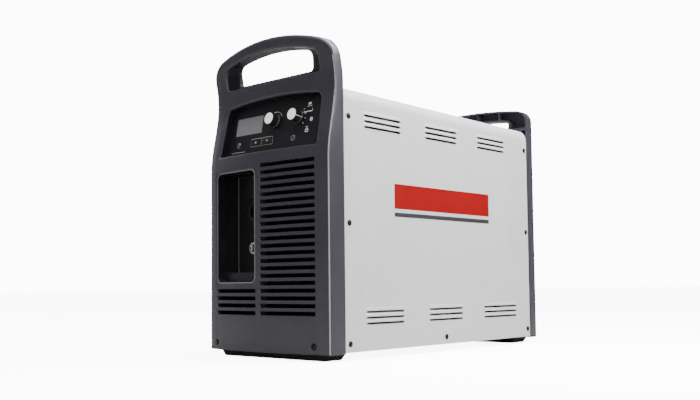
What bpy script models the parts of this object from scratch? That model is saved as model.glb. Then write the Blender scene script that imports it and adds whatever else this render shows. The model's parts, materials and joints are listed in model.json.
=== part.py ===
"""Plasma cutter power supply: moulded bezels with carrying handles, a louvred sheet-metal cover, a control
panel with two knobs, a torch connection bay, and the power electronics, fan and gas parts inside.

Metres, +Z up. The origin is on the floor under the middle. The front faces -Y, and +X is the right-hand
side seen from the front.
"""

import math

import bmesh
import bpy
from mathutils import Matrix, Vector

# ---- Driving dimensions ----------------------------------------------------------------------------------
WIDTH = 0.274
DEPTH = 0.592
HEIGHT = 0.508
HALF = WIDTH / 2
FRONT = -DEPTH / 2
REAR = DEPTH / 2
GAP = 0.0003
WALL = 0.0035

# Front bezel: its face is bowed in plan, less so at the handle, and waisted in side view.
BEZEL_BOTTOM = 0.010
BOW = 0.0115
HANDLE_BOW = 0.0045
SHOULDER_Z = 0.305
WAIST_Z = 0.418
WAIST_DEPTH = 0.0225
LEAN = 0.0145
LEAN_SPAN = 0.100
ARCH_RADIUS = 0.370
ARCH_CORNER = 0.032
FACE_ROUND = 0.003
SEAM_FRONT = -0.2514
SEAM_REAR = 0.2749
HANDLE_BACK_LEAN = 0.013

# Cover: an inverted U of sheet that falls slightly towards the rear.
SHEET = 0.0015
COVER_HALF = 0.135
COVER_BOTTOM = 0.012
COVER_TOP_FRONT = 0.4215
COVER_TOP_REAR = 0.4140
COVER_CORNER = 0.022
COVER_CROWN = 0.0035

# Rear bezel and its lower handle.
REAR_TOP = 0.4585
REAR_ARCH_RADIUS = 0.83
REAR_CORNER = 0.024
REAR_PANEL_Y = 0.2620

# Control panel: it leans back in a recess of the front bezel.
PANEL_ORIGIN = (0.0, -0.2700, 0.3300)
PANEL_TILT = math.radians(10)
PANEL_THICK = 0.003
RECESS_BOTTOM = 0.3262
RECESS_TOP = 0.4140
RECESS_ARCH = 0.790
RECESS_HALF_LOW = 0.1120
RECESS_HALF_HIGH = 0.1085
KNOB_V = 0.0482
ADJUST_KNOB_U = -0.0015
MODE_KNOB_U = 0.0507

# Front air slots.
SLOT_PITCH = 0.0116
SLOT_HEIGHT = 0.0060
SLOT_FIRST_Z = 0.0709
RIGHT_SLOTS = (-0.0030, 0.1100, 21)
LEFT_SLOTS = (-0.1150, -0.0140, 4)
SLAT_BACK = -0.2800

# Torch bay.
BAY_X = (-0.1165, -0.0140)
BAY_Z = (0.1175, 0.3000)
BAY_BACK = -0.2420
BAY_LEDGE_Z = 0.1350
BAY_WALL = 0.0020
TORCH_AT = (-0.0600, 0.2360)
WORK_AT = (-0.0700, 0.1757)

# Fan.
FAN_CENTRE = (0.0, 0.2427, 0.3000)
FAN_SIZE = 0.120
FAN_DEPTH = 0.038
FAN_BORE = 0.056

FINISHES = {
    "bezel_grey": ((0.055, 0.053, 0.065), 0.45, 0.0),
    "black_plastic": ((0.012, 0.012, 0.013), 0.50, 0.0),
    "silver_paint": ((0.62, 0.62, 0.64), 0.38, 0.3),
    "white_plastic": ((0.80, 0.80, 0.80), 0.35, 0.0),
    "display": ((0.26, 0.27, 0.27), 0.25, 0.0),
    "clear": ((0.60, 0.62, 0.62), 0.05, 0.0),
    "red_plastic": ((0.55, 0.02, 0.02), 0.35, 0.0),
    "black_steel": ((0.010, 0.010, 0.011), 0.40, 0.4),
    "zinc_steel": ((0.45, 0.45, 0.46), 0.35, 0.9),
    "brass": ((0.60, 0.42, 0.16), 0.30, 1.0),
    "aluminium": ((0.62, 0.63, 0.65), 0.35, 1.0),
    "copper": ((0.55, 0.22, 0.10), 0.35, 1.0),
    "laminated_steel": ((0.18, 0.18, 0.19), 0.50, 0.8),
    "circuit_green": ((0.02, 0.12, 0.05), 0.45, 0.0),
    "rubber": ((0.010, 0.010, 0.010), 0.70, 0.0),
    "blue_sleeve": ((0.04, 0.07, 0.22), 0.40, 0.0),
}


# ---- Scene and object helpers ----------------------------------------------------------------------------
def clear_scene():
    for old in list(bpy.data.objects):
        bpy.data.objects.remove(old, do_unlink=True)


def new_collection(name):
    collection = bpy.data.collections.new(name)
    bpy.context.scene.collection.children.link(collection)
    return collection


clear_scene()
PARTS = new_collection("plasma_cutter")
CUTTERS = new_collection("plasma_cutter_cutters")


def material_for(name, finish):
    colour, roughness, metallic = FINISHES[finish]
    made = bpy.data.materials.new(name + "_material")
    made.use_nodes = True
    shader = made.node_tree.nodes["Principled BSDF"]
    shader.inputs["Base Color"].default_value = (*colour, 1.0)
    shader.inputs["Roughness"].default_value = roughness
    shader.inputs["Metallic"].default_value = metallic
    return made


def add_object(name, mesh, finish):
    """Links a mesh as a part, or as a cutter if it has no finish."""
    made = bpy.data.objects.new(name, mesh)
    if finish is None:
        CUTTERS.objects.link(made)
        made.hide_render = True
        made.display_type = "WIRE"
    else:
        PARTS.objects.link(made)
        mesh.materials.append(material_for(name, finish))
    return made


def finish_bmesh(name, bm, finish):
    bmesh.ops.recalc_face_normals(bm, faces=bm.faces)
    mesh = bpy.data.meshes.new(name)
    bm.to_mesh(mesh)
    bm.free()
    return add_object(name, mesh, finish)


def add_box(bm, low, high):
    low, high = Vector(low), Vector(high)
    place = Matrix.Translation((low + high) / 2) @ Matrix.Diagonal((*(high - low), 1.0))
    bmesh.ops.create_cube(bm, size=1.0, matrix=place)


def boxes(name, corners, finish=None):
    bm = bmesh.new()
    for low, high in corners:
        add_box(bm, low, high)
    return finish_bmesh(name, bm, finish)


def box(name, low, high, finish=None, edge=0.0):
    made = boxes(name, [(low, high)], finish)
    if edge:
        bevel(made, edge)
    return made


def bevel(target, width, segments=2, degrees=40):
    modifier = target.modifiers.new("edge", "BEVEL")
    modifier.width = width
    modifier.segments = segments
    modifier.limit_method = "ANGLE"
    modifier.angle_limit = math.radians(degrees)
    return modifier


def add_cylinder(bm, start, end, radius, segments=24):
    start, end = Vector(start), Vector(end)
    axis = end - start
    place = Matrix.Translation((start + end) / 2) @ axis.to_track_quat("Z", "Y").to_matrix().to_4x4()
    bmesh.ops.create_cone(
        bm, cap_ends=True, segments=segments, radius1=radius, radius2=radius, depth=axis.length, matrix=place
    )


def cylinder(name, start, end, radius, finish=None, segments=24):
    bm = bmesh.new()
    add_cylinder(bm, start, end, radius, segments)
    made = finish_bmesh(name, bm, finish)
    smooth_sides(made)
    return made


def turned(name, profile, location, axis, finish=None, steps=24):
    """A profile of (radius, height) from the top of the axis, down the outer side, to its foot.

    A profile that starts away from the axis closes on itself and makes a ring.
    """
    bm = bmesh.new()
    points = [bm.verts.new((radius, 0.0, height)) for radius, height in profile]
    for first, second in zip(points, points[1:]):
        bm.edges.new((first, second))
    if profile[0][0] > 0:
        bm.edges.new((points[-1], points[0]))
    mesh = bpy.data.meshes.new(name)
    bm.to_mesh(mesh)
    bm.free()
    made = add_object(name, mesh, finish)
    made.location = location
    made.rotation_euler = Vector(axis).to_track_quat("Z", "Y").to_euler()
    screw = made.modifiers.new("turn", "SCREW")
    screw.axis = "Z"
    screw.angle = math.tau
    screw.steps = steps
    screw.render_steps = steps
    screw.use_merge_vertices = True
    screw.merge_threshold = 0.0001
    screw.use_smooth_shade = True
    return made


def smooth_sides(target, degrees=30):
    target.data.shade_smooth()
    target.data.set_sharp_from_angle(angle=math.radians(degrees))


def boolean(target, others, operation):
    for other in others:
        modifier = target.modifiers.new(other.name, "BOOLEAN")
        modifier.operation = operation
        modifier.object = other


def cut(target, *cutters):
    boolean(target, cutters, "DIFFERENCE")


def join(target, *others):
    boolean(target, others, "UNION")


def rounded(corners, segments=4):
    """An outline from (x, y, radius) corners, each rounded by an arc."""
    outline = []
    count = len(corners)
    for index, (x, y, radius) in enumerate(corners):
        corner = Vector((x, y))
        if not radius:
            outline.append(corner)
            continue
        before = (Vector(corners[index - 1][:2]) - corner).normalized()
        after = (Vector(corners[(index + 1) % count][:2]) - corner).normalized()
        half_angle = before.angle(after) / 2
        centre = corner + (before + after).normalized() * radius / math.sin(half_angle)
        start = corner + before * radius / math.tan(half_angle) - centre
        turn = (corner + after * radius / math.tan(half_angle) - centre).angle_signed(start)
        for step in range(segments + 1):
            outline.append(centre + Matrix.Rotation(turn * step / segments, 2) @ start)
    return outline


def rectangle(x_low, x_high, z_low, z_high, radius=0.0, segments=4):
    corners = [(x_low, z_low), (x_high, z_low), (x_high, z_high), (x_low, z_high)]
    return rounded([(x, z, radius) for x, z in corners], segments)


# The columns are an outline's two directions and the way out of its plane.
PLANES = {
    "XZ": Matrix(((1, 0, 0), (0, 0, -1), (0, 1, 0))),
    "YZ": Matrix(((0, 0, 1), (1, 0, 0), (0, 1, 0))),
    "XY": Matrix.Identity(3),
}


def plate(name, outline, low, high, finish=None, plane="XZ"):
    """A flat outline extruded between two places on the axis that its plane leaves out."""
    curve = bpy.data.curves.new(name + "_outline", "CURVE")
    curve.dimensions = "2D"
    curve.fill_mode = "BOTH"
    curve.extrude = (high - low) / 2
    spline = curve.splines.new("POLY")
    spline.points.add(len(outline) - 1)
    for point, (a, b) in zip(spline.points, outline):
        point.co = (a, b, 0.0, 1.0)
    spline.use_cyclic_u = True
    drawn = bpy.data.objects.new(name + "_outline", curve)
    CUTTERS.objects.link(drawn)
    axes = PLANES[plane]
    outward = axes.col[2]
    middle = (low + high) / 2 * sum(outward)
    drawn.matrix_world = Matrix.Translation(outward * middle) @ axes.to_4x4()
    return mesh_from_curve(name, drawn, finish)


def mesh_from_curve(name, drawn, finish):
    """Replaces a curve object by a closed mesh of its shape."""
    bpy.context.view_layer.update()
    evaluated = drawn.evaluated_get(bpy.context.evaluated_depsgraph_get())
    mesh = bpy.data.meshes.new_from_object(evaluated)
    mesh.transform(drawn.matrix_world)
    bpy.data.objects.remove(drawn, do_unlink=True)
    mesh.materials.clear()
    mesh.name = name
    bm = bmesh.new()
    bm.from_mesh(mesh)
    bmesh.ops.remove_doubles(bm, verts=bm.verts, dist=1e-6)
    bmesh.ops.recalc_face_normals(bm, faces=bm.faces)
    bm.to_mesh(mesh)
    bm.free()
    return add_object(name, mesh, finish)


def loft(name, rings, finish=None):
    """A closed body through rings of points, each with the same count."""
    bm = bmesh.new()
    loops = [[bm.verts.new(point) for point in ring] for ring in rings]
    for loop, following in zip(loops, loops[1:]):
        for index in range(len(loop)):
            after = (index + 1) % len(loop)
            bm.faces.new((loop[index], loop[after], following[after], following[index]))
    bm.faces.new(loops[0])
    bm.faces.new(loops[-1])
    bmesh.ops.triangulate(bm, faces=bm.faces)
    return finish_bmesh(name, bm, finish)


def smooth_step(value):
    value = min(max(value, 0.0), 1.0)
    return value * value * (3 - 2 * value)


# ---- Outlines of the bezels and the cover ----------------------------------------------------------------
def arch_columns(half, top, radius, corner, arch_steps, corner_steps):
    """(x, top z) across an arched top with a rounded corner at each end, from left to right."""
    corner_x = half - corner
    corner_z = top - radius + math.sqrt((radius - corner) ** 2 - corner_x**2)
    join_angle = math.asin(corner_x / (radius - corner))
    right = []
    for step in range(arch_steps):
        angle = join_angle * step / arch_steps
        right.append((radius * math.sin(angle), top - radius + radius * math.cos(angle)))
    for step in range(corner_steps + 1):
        angle = join_angle + (math.pi / 2 - join_angle) * step / corner_steps
        right.append((corner_x + corner * math.sin(angle), corner_z + corner * math.cos(angle)))
    left = [(-x, z) for x, z in reversed(right[1:])]
    return left + right


def front_face_y(x, z):
    waist = smooth_step((z - SHOULDER_Z) / (WAIST_Z - SHOULDER_Z))
    bow = BOW + (HANDLE_BOW - BOW) * waist
    lean = LEAN * smooth_step((z - WAIST_Z) / LEAN_SPAN)
    return FRONT + bow * (x / HALF) ** 2 + WAIST_DEPTH * waist - lean


def front_back_y(z):
    return SEAM_FRONT - HANDLE_BACK_LEAN * smooth_step((z - COVER_TOP_FRONT) / 0.090)


def front_form(name, inset, back=None, edge=0.0, finish=None):
    """The front bezel's outer form, or one inset from it, from its face to its back or to a flat one."""
    columns = arch_columns(HALF - inset, HEIGHT - inset, ARCH_RADIUS - inset, ARCH_CORNER - inset, 4, 4)
    bottom = BEZEL_BOTTOM + inset
    levels = [SHOULDER_Z + (WAIST_Z + 0.012 - SHOULDER_Z) * step / 7 for step in range(8)]
    fractions = (0.33, 0.67, 1.0)
    row_count = 1 + len(levels) + len(fractions)
    bm = bmesh.new()
    bmesh.ops.create_grid(bm, x_segments=len(columns) - 1, y_segments=row_count - 1, size=0.5)
    for vert in bm.verts:
        x, top = columns[round((vert.co.x + 0.5) * (len(columns) - 1))]
        row = round((vert.co.y + 0.5) * (row_count - 1))
        if row == 0:
            z = bottom
        elif row <= len(levels):
            z = levels[row - 1]
        else:
            z = levels[-1] + (top - levels[-1]) * fractions[row - 1 - len(levels)]
        vert.co = (x, front_face_y(x, z) + inset, z)
    front_faces = set(bm.faces)
    made = bmesh.ops.extrude_face_region(bm, geom=bm.faces[:])["geom"]
    for vert in (item for item in made if isinstance(item, bmesh.types.BMVert)):
        vert.co.y = front_back_y(vert.co.z) if back is None else back
    if edge:
        rim = [item for item in bm.edges if len(front_faces & set(item.link_faces)) == 1]
        bmesh.ops.bevel(bm, geom=rim, offset=edge, segments=2, profile=0.5, affect="EDGES", clamp_overlap=True)
    bmesh.ops.triangulate(bm, faces=bm.faces)
    return finish_bmesh(name, bm, finish)


def cover_top(y):
    share = (y - SEAM_FRONT) / (SEAM_REAR - SEAM_FRONT)
    return COVER_TOP_FRONT + (COVER_TOP_REAR - COVER_TOP_FRONT) * share


def cover_section(y, inset):
    """The inverted U at y, from the foot of the left wall over the top to the foot of the right one."""
    half = COVER_HALF - inset
    corner = COVER_CORNER - inset
    top = cover_top(y) - inset
    shoulder_x = half - corner
    shoulder_z = top - COVER_CROWN - corner
    right = []
    for step in range(5):
        angle = math.pi / 2 * step / 4
        right.append((shoulder_x + corner * math.sin(angle), shoulder_z + corner * math.cos(angle)))
    crown = [(shoulder_x * share, top - COVER_CROWN * share**2) for share in (0.0, 0.35, 0.7)]
    right = crown + right + [(half, COVER_BOTTOM)]
    return [(-x, z) for x, z in reversed(right[1:])] + right


def flange(name, y_low, y_high, bottom):
    """A frame that fits under the cover, to be joined on to a bezel."""
    y_mid = (y_low + y_high) / 2
    outline = [(x, max(z, bottom)) for x, z in cover_section(y_mid, SHEET + 2 * GAP)]
    inner = [(x, max(z, bottom + WALL)) for x, z in cover_section(y_mid, SHEET + 2 * GAP + WALL)]
    frame = plate(name, outline, y_low, y_high)
    hole = plate(name + "_inside", inner, y_low - 0.01, y_high + 0.01)
    cut(frame, hole)
    return frame


def arched_opening(half, bottom, top, corner, arch, foot, spread=0.0, pieces=1):
    """An opening with an arched top; its foot is wider by spread, and divided into pieces."""
    upper = arch_columns(half, top, arch, corner, 3, 3)
    low = half + spread
    left, right = (-half, top - corner, 0.0), (half, top - corner, 0.0)
    along = [(low * (2 * step / pieces - 1), bottom, 0.0) for step in range(1, pieces)]
    sides = [left, (-low, bottom, foot), *along, (low, bottom, foot), right]
    return rounded(sides, 2)[1:-1] + list(reversed(upper))


def recess_outline(margin=0.0, pieces=1):
    """The control recess on an upright plane, grown by margin at the sides and top."""
    half, spread = RECESS_HALF_HIGH + margin, RECESS_HALF_LOW - RECESS_HALF_HIGH
    bottom, top = RECESS_BOTTOM - margin * 0.4, RECESS_TOP + margin
    return arched_opening(half, bottom, top, 0.011 + margin, RECESS_ARCH, 0.002 + margin, spread, pieces)


def slot_corners(block):
    """The opposite corners of each slot of a block, from in front of the face to behind the slats."""
    x_low, x_high, count = block
    for index in range(count):
        z = SLOT_FIRST_Z + SLOT_PITCH * index
        yield (x_low, FRONT - 0.0200, z - SLOT_HEIGHT / 2), (x_high, -0.2700, z + SLOT_HEIGHT / 2)


# ---- Front bezel -----------------------------------------------------------------------------------------
HANDLE_MOUTH = (0.1080, 0.4395, 0.4880)
HANDLE_THROAT = (0.0850, 0.4445, 0.4865)
HANDLE_CORNER = 0.016
HANDLE_FOOT_Z = 0.4150
RECESS_ROUND = 0.0045
FRONT_SCREWS = ((-0.1160, 0.0225), (0.1070, 0.0225))
FRONT_SCREW_SUNK = 0.0018


def finger_opening():
    """The handle's opening: a mouth that follows the face and narrows to a throat, out to the back."""
    rings = []
    for (half, low, high), depth in (
        (HANDLE_MOUTH, FRONT - 0.0200),
        (HANDLE_MOUTH, None),
        (HANDLE_THROAT, -0.2635),
        (HANDLE_THROAT, -0.2100),
    ):
        outline = arched_opening(half, low, high, HANDLE_CORNER, ARCH_RADIUS, 0.006, pieces=10)
        rings.append([(x, front_face_y(x, z) + 0.0030 if depth is None else depth, z) for x, z in outline])
    return loft("finger_opening", rings)


def recess_opening():
    """The recess, with its edge rounded where it meets the bowed face."""
    wide, straight = recess_outline(RECESS_ROUND, 6), recess_outline(0.0, 6)
    rings = [[(x, FRONT - 0.0200, z) for x, z in wide]]
    for share, sunk in ((1.0, 0.0), (0.30, 0.0014), (0.0, 0.0045)):
        outline = recess_outline(RECESS_ROUND * share, 6)
        rings.append([(x, front_face_y(x, z) + sunk, z) for x, z in outline])
    rings.append([(x, -0.2100, z) for x, z in straight])
    return loft("recess_opening", rings)


def front_cavity_cutter():
    """The hollow of the front bezel below its handle, less the walls and blocks that stand in it."""
    cavity = front_form("front_cavity", WALL, back=-0.2200)
    tub = plate("recess_tub", recess_outline(0.0025), -0.3100, -0.2100)
    handle = box("handle_block", (-0.15, -0.31, HANDLE_FOOT_Z), (0.15, -0.21, HEIGHT + 0.01))
    blocks = []
    for (x_low, x_high, count), past in ((RIGHT_SLOTS, 0.0050), (LEFT_SLOTS, 0.0040)):
        top = SLOT_FIRST_Z + SLOT_PITCH * (count - 1) + 0.0088
        blocks.append(((x_low - 0.0045, -0.3100, 0.0620), (x_high + past, SLAT_BACK, top)))
    cut(cavity, tub, handle, boxes("slat_blocks", blocks))
    return cavity


def front_screw_hole(name, x, z):
    """A counterbored hole, whose sunk seat is parallel to the machine's front."""
    head, shank, sunk = 0.0052, 0.0026, -FRONT_SCREW_SUNK
    profile = [(0.0, 0.0300), (head, 0.0300), (head, sunk), (shank, sunk), (shank, -0.0180), (0.0, -0.0180)]
    return turned(name, profile, (x, front_face_y(x, z), z), (0, -1, 0), steps=16)


def front_bezel():
    bezel = front_form("front_bezel", 0.0, edge=FACE_ROUND, finish="bezel_grey")
    cut(bezel, front_cavity_cutter())
    join(bezel, flange("front_flange", -0.2600, -0.2280, 0.0125))
    slots = [corners for block in (RIGHT_SLOTS, LEFT_SLOTS) for corners in slot_corners(block)]
    screw_holes = [front_screw_hole(f"front_screw_hole_{x:+.3f}", x, z) for x, z in FRONT_SCREWS]
    cut(
        bezel,
        recess_opening(),
        finger_opening(),
        plate("bay_opening", rectangle(*BAY_X, *BAY_Z, 0.011), FRONT - 0.0200, -0.2200),
        boxes("front_slots", slots),
        *screw_holes,
        screw_hole_cutter("front_flange_holes", -0.2600, -0.2280),
    )
    smooth_sides(bezel)
    return bezel


# ---- Rear bezel ------------------------------------------------------------------------------------------
REAR_OPENING = (0.0960, 0.4165, 0.4370)
REAR_WINDOW = (-0.1120, 0.1120, 0.0300, 0.2000)
REAR_SLOTS = (-0.1020, 0.1020, 14)
REAR_SLOT_FIRST_Z = 0.2250
REAR_SLOT_PITCH = 0.0125


def rear_outline(inset):
    half, bottom = HALF - inset, BEZEL_BOTTOM + inset
    columns = arch_columns(half, REAR_TOP - inset, REAR_ARCH_RADIUS - inset, REAR_CORNER - inset, 4, 4)
    return [(-half, bottom), (half, bottom), *reversed(columns)]


def rear_opening(margin, radius):
    half, low, high = REAR_OPENING
    return arched_opening(half + margin, low - margin, high + margin, radius, REAR_ARCH_RADIUS, 0.006)


def rear_cavity_cutter():
    """The hollow of the rear bezel, less the walls and ribs that stand in it."""
    cavity = plate("rear_cavity", rear_outline(WALL), 0.2600, REAR - WALL)
    low, high = REAR_OPENING[1:]
    x_low, x_high, z_low, z_high = REAR_WINDOW
    walls = plate("rear_opening_walls", rear_opening(WALL, 0.0115), 0.2500, 0.3000)
    solids = [
        ((-HALF - 0.01, 0.2500, low - 0.0065), (HALF + 0.01, 0.3000, low)),
        ((x_low - WALL, 0.2500, z_low - WALL), (x_high + WALL, 0.3000, z_high + WALL)),
    ]
    for x in (-0.0750, -0.0250, 0.0250, 0.0750):
        solids.append(((x - 0.0010, 0.2500, high + 0.0005), (x + 0.0010, 0.3000, REAR_TOP + 0.01)))
    sill, window, *ribs = (boxes(f"rear_cavity_block_{index}", [solid]) for index, solid in enumerate(solids))
    cut(cavity, walls, sill, window, *ribs)
    return cavity


def rear_bezel():
    bezel = plate("rear_bezel", rear_outline(0.0), SEAM_REAR - 0.0100, REAR, "bezel_grey")
    bevel(bezel, 0.0028, segments=3, degrees=60)
    cut(bezel, box("rear_seam", (-0.2, 0.2500, -0.1), (0.2, SEAM_REAR, 0.6)), rear_cavity_cutter())
    x_low, x_high, z_low, z_high = REAR_WINDOW
    pocket = box(
        "pocket_walls",
        (x_low - WALL, REAR_PANEL_Y + 0.0020, z_low - WALL),
        (x_high + WALL, 0.2800, z_high + WALL),
    )
    join(bezel, flange("rear_flange", 0.2560, 0.2800, 0.0125), pocket)
    slots = []
    x_low, x_high, count = REAR_SLOTS
    for index in range(count):
        z = REAR_SLOT_FIRST_Z + REAR_SLOT_PITCH * index
        slots.append(((x_low, 0.2850, z - 0.0030), (x_high, REAR + 0.01, z + 0.0030)))
    cut(
        bezel,
        plate("rear_opening", rear_opening(0.0, 0.008), 0.2400, REAR + 0.01),
        plate("rear_window", rectangle(*REAR_WINDOW, 0.006), 0.2400, REAR + 0.01),
        boxes("rear_slots", slots),
        screw_hole_cutter("rear_flange_holes", 0.2560, 0.2800),
    )
    smooth_sides(bezel)
    return bezel


# ---- Cover -----------------------------------------------------------------------------------------------
LOUVRE_PITCH = 0.0089
LOUVRE_PROUD = 0.0014
TOP_LOUVRE_Z = 0.3780
LOW_LOUVRE_Z = 0.0735
TOP_LOUVRES = ((-0.2044, -0.1106), (-0.0493, 0.0456), (0.1042, 0.1967))
LOW_LOUVRES = ((-0.2027, -0.1073), (-0.0436, 0.0555), (0.1175, 0.2297))
COVER_SCREWS = (
    (-0.2385, 0.3710),
    (-0.2385, 0.2075),
    (-0.2385, 0.0250),
    (0.2660, 0.3690),
    (0.2660, 0.2110),
    (0.2660, 0.0270),
    (0.0049, 0.0245),
)


def louvre_places():
    """(y low, y high, z of the opening's edge) of each louvre on one side."""
    for groups, first in ((TOP_LOUVRES, TOP_LOUVRE_Z), (LOW_LOUVRES, LOW_LOUVRE_Z)):
        for y_low, y_high in groups:
            for row in range(3):
                yield y_low, y_high, first - LOUVRE_PITCH * row


def louvre_hood(bm, side, y_low, y_high, z):
    """A wedge that stands proud of the sheet at its lower edge and meets it above."""
    sunk, flush, proud = COVER_HALF - 0.0008, COVER_HALF + 0.0002, COVER_HALF + LOUVRE_PROUD
    inset = 0.0030
    section = ((sunk, z, 0), (proud, z, inset), (flush, z + 0.0058, inset), (sunk, z + 0.0058, 0))
    ends = []
    for y, inward in ((y_low, 1), (y_high, -1)):
        ends.append([bm.verts.new((side * x, y + inward * cant, height)) for x, height, cant in section])
    first, last = ends
    for index in range(4):
        after = (index + 1) % 4
        bm.faces.new((first[index], first[after], last[after], last[index]))
    bm.faces.new(first)
    bm.faces.new(last)


def cover():
    stations = (SEAM_FRONT + GAP, SEAM_REAR - GAP)
    bm = bmesh.new()
    rows = [[bm.verts.new((x, y, z)) for x, z in cover_section(y, 0.0)] for y in stations]
    for index in range(len(rows[0]) - 1):
        bm.faces.new((rows[0][index], rows[0][index + 1], rows[1][index + 1], rows[1][index]))
    sheet = finish_bmesh("cover", bm, "silver_paint")
    solid = sheet.modifiers.new("thickness", "SOLIDIFY")
    solid.thickness = SHEET
    solid.offset = -1.0
    solid.use_even_offset = True
    hoods, gaps, holes = bmesh.new(), [], bmesh.new()
    for side in (1, -1):
        for y_low, y_high, z in louvre_places():
            louvre_hood(hoods, side, y_low, y_high, z)
            xs = sorted((side * (COVER_HALF - 0.006), side * (COVER_HALF + LOUVRE_PROUD - 0.0007)))
            gaps.append(((xs[0], y_low + 0.003, z - 0.0026), (xs[1], y_high - 0.003, z + 0.0010)))
        for y, z in COVER_SCREWS:
            add_cylinder(holes, (side * 0.128, y, z), (side * 0.140, y, z), 0.0023, 12)
    join(sheet, finish_bmesh("louvre_hoods", hoods, None))
    cut(sheet, boxes("louvre_gaps", gaps), finish_bmesh("cover_screw_holes", holes, None))
    smooth_sides(sheet)
    return sheet


def screw_hole_cutter(name, y_low, y_high):
    """Clearance for the cover screws in what lies under the cover, between two places on Y."""
    bm = bmesh.new()
    for side in (1, -1):
        for y, z in COVER_SCREWS:
            if y_low < y < y_high:
                add_cylinder(bm, (side * 0.122, y, z), (side * 0.140, y, z), 0.0025, 12)
    return finish_bmesh(name, bm, None)


def screw(name, head, inward):
    """A domed pan-head screw: head is the middle of the seat, and inward the way it is driven."""
    seat = 0.0004
    profile = [
        (0.0, seat + 0.0014),
        (0.0032, seat + 0.0011),
        (0.0041, seat),
        (0.0018, seat),
        (0.0018, -0.0070),
        (0.0, -0.0078),
    ]
    return turned(name, profile, head, -Vector(inward), "black_steel", steps=10)


def cover_screws():
    for side, label in ((1, "right"), (-1, "left")):
        for index, (y, z) in enumerate(COVER_SCREWS, 1):
            screw(f"cover_screw_{label}_{index}", (side * COVER_HALF, y, z), (-side, 0, 0))


def front_screws():
    for (x, z), label in zip(FRONT_SCREWS, ("left", "right")):
        screw(f"front_screw_{label}", (x, front_face_y(x, z) + FRONT_SCREW_SUNK, z), (0, 1, 0))


# ---- Base, feet and inner panels -------------------------------------------------------------------------
BASE_FLOOR = 0.0135
BASE_HALF = COVER_HALF - SHEET - 2 * GAP


def base_pan():
    """A shallow sheet tray between the bezel flanges, with side lips that the cover screws into."""
    y_low, y_high = -0.2270, 0.2550
    under, lip, inside = COVER_BOTTOM, 0.0450, BASE_HALF - 0.0015
    outline = [
        (-BASE_HALF, under),
        (BASE_HALF, under),
        (BASE_HALF, lip),
        (inside, lip),
        (inside, BASE_FLOOR),
        (-inside, BASE_FLOOR),
        (-inside, lip),
        (-BASE_HALF, lip),
    ]
    pan = plate("base_pan", outline, y_low, y_high, "zinc_steel")
    cut(pan, screw_hole_cutter("base_screw_holes", y_low, y_high))
    return pan


def foot(name, y_low, y_high):
    """A bar across the machine with slanted ends, from the floor to the underside."""
    top = BEZEL_BOTTOM - GAP
    bar = plate(name, [(-0.1130, 0.0), (0.1130, 0.0), (0.1220, top), (-0.1220, top)], y_low, y_high, "rubber")
    bevel(bar, 0.0012, segments=1, degrees=60)
    return bar


def feet():
    foot("front_foot", -0.2740, -0.2340)
    foot("rear_foot", 0.2400, 0.2850)


def centre_panel():
    """The upright sheet that parts the power board from the magnetics."""
    panel = box("centre_panel", (0.0060, -0.1900, BASE_FLOOR + GAP), (0.0080, 0.1950, 0.3960), "zinc_steel")
    window = boxes("centre_panel_window", [((0.0, 0.1450, 0.0300), (0.0150, 0.1800, 0.0900))])
    cut(panel, window)
    return panel


def rear_panel():
    """The sheet behind the rear bezel, holed for the fan and for each fitting."""
    inset = SHEET + 2 * GAP + WALL + GAP
    outline = [(x, max(z, 0.0168)) for x, z in cover_section(REAR_PANEL_Y, inset)]
    panel = plate("rear_panel", outline, REAR_PANEL_Y, REAR_PANEL_Y + 0.0015, "zinc_steel")
    bm = bmesh.new()
    fan_x, _, fan_z = FAN_CENTRE
    add_cylinder(bm, (fan_x, 0.25, fan_z), (fan_x, 0.28, fan_z), FAN_BORE, 32)
    for (x, z), radius in FITTING_HOLES:
        add_cylinder(bm, (x, 0.25, z), (x, 0.28, z), radius, 24)
    cut(panel, finish_bmesh("rear_panel_holes", bm, None))
    return panel


# ---- Control panel ---------------------------------------------------------------------------------------
LCD_U = (-0.0955, -0.0320)
LCD_V = (0.0325, 0.0630)
BUTTON_U = (-0.0420, -0.0155)
BUTTON_V = 0.0170
BUTTON_SIZE = (0.0225, 0.0110)
LED_AT = (0.0437, 0.0149)
KNOB_HOLE = 0.0038


def panel_frame():
    """An empty at the foot of the panel: its X is across, Y up the panel and Z out of it."""
    frame = bpy.data.objects.new("panel_frame", None)
    PARTS.objects.link(frame)
    frame.location = PANEL_ORIGIN
    frame.rotation_euler = (math.pi / 2 - PANEL_TILT, 0.0, 0.0)
    return frame


def on_panel(frame, *items):
    for item in items:
        item.parent = frame


def control_panel(frame):
    foot_z, top_z = RECESS_BOTTOM + 2 * GAP, RECESS_TOP - 2 * GAP
    foot_v, top_v = ((z - PANEL_ORIGIN[2]) / math.cos(PANEL_TILT) for z in (foot_z, top_z))
    half, spread = RECESS_HALF_HIGH - 2 * GAP, RECESS_HALF_LOW - RECESS_HALF_HIGH
    outline = arched_opening(half, foot_v, top_v, 0.0115, RECESS_ARCH, 0.002, spread)
    panel = plate("control_panel", outline, -PANEL_THICK, 0.0, "black_plastic", plane="XY")
    window = plate("lcd_window", rectangle(*LCD_U, *LCD_V, 0.001, 2), -0.01, 0.01, plane="XY")
    wide, tall = (side / 2 + 0.0004 for side in BUTTON_SIZE)
    holes = [((u - wide, BUTTON_V - tall, -0.01), (u + wide, BUTTON_V + tall, 0.01)) for u in BUTTON_U]
    button_holes = boxes("button_holes", holes)
    bm = bmesh.new()
    for u in (ADJUST_KNOB_U, MODE_KNOB_U):
        add_cylinder(bm, (u, KNOB_V, -0.01), (u, KNOB_V, 0.01), KNOB_HOLE, 20)
    add_cylinder(bm, (*LED_AT, -0.01), (*LED_AT, 0.01), 0.0029, 16)
    round_holes = finish_bmesh("panel_round_holes", bm, None)
    cut(panel, window, button_holes, round_holes)
    on_panel(frame, panel, window, button_holes, round_holes)


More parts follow.
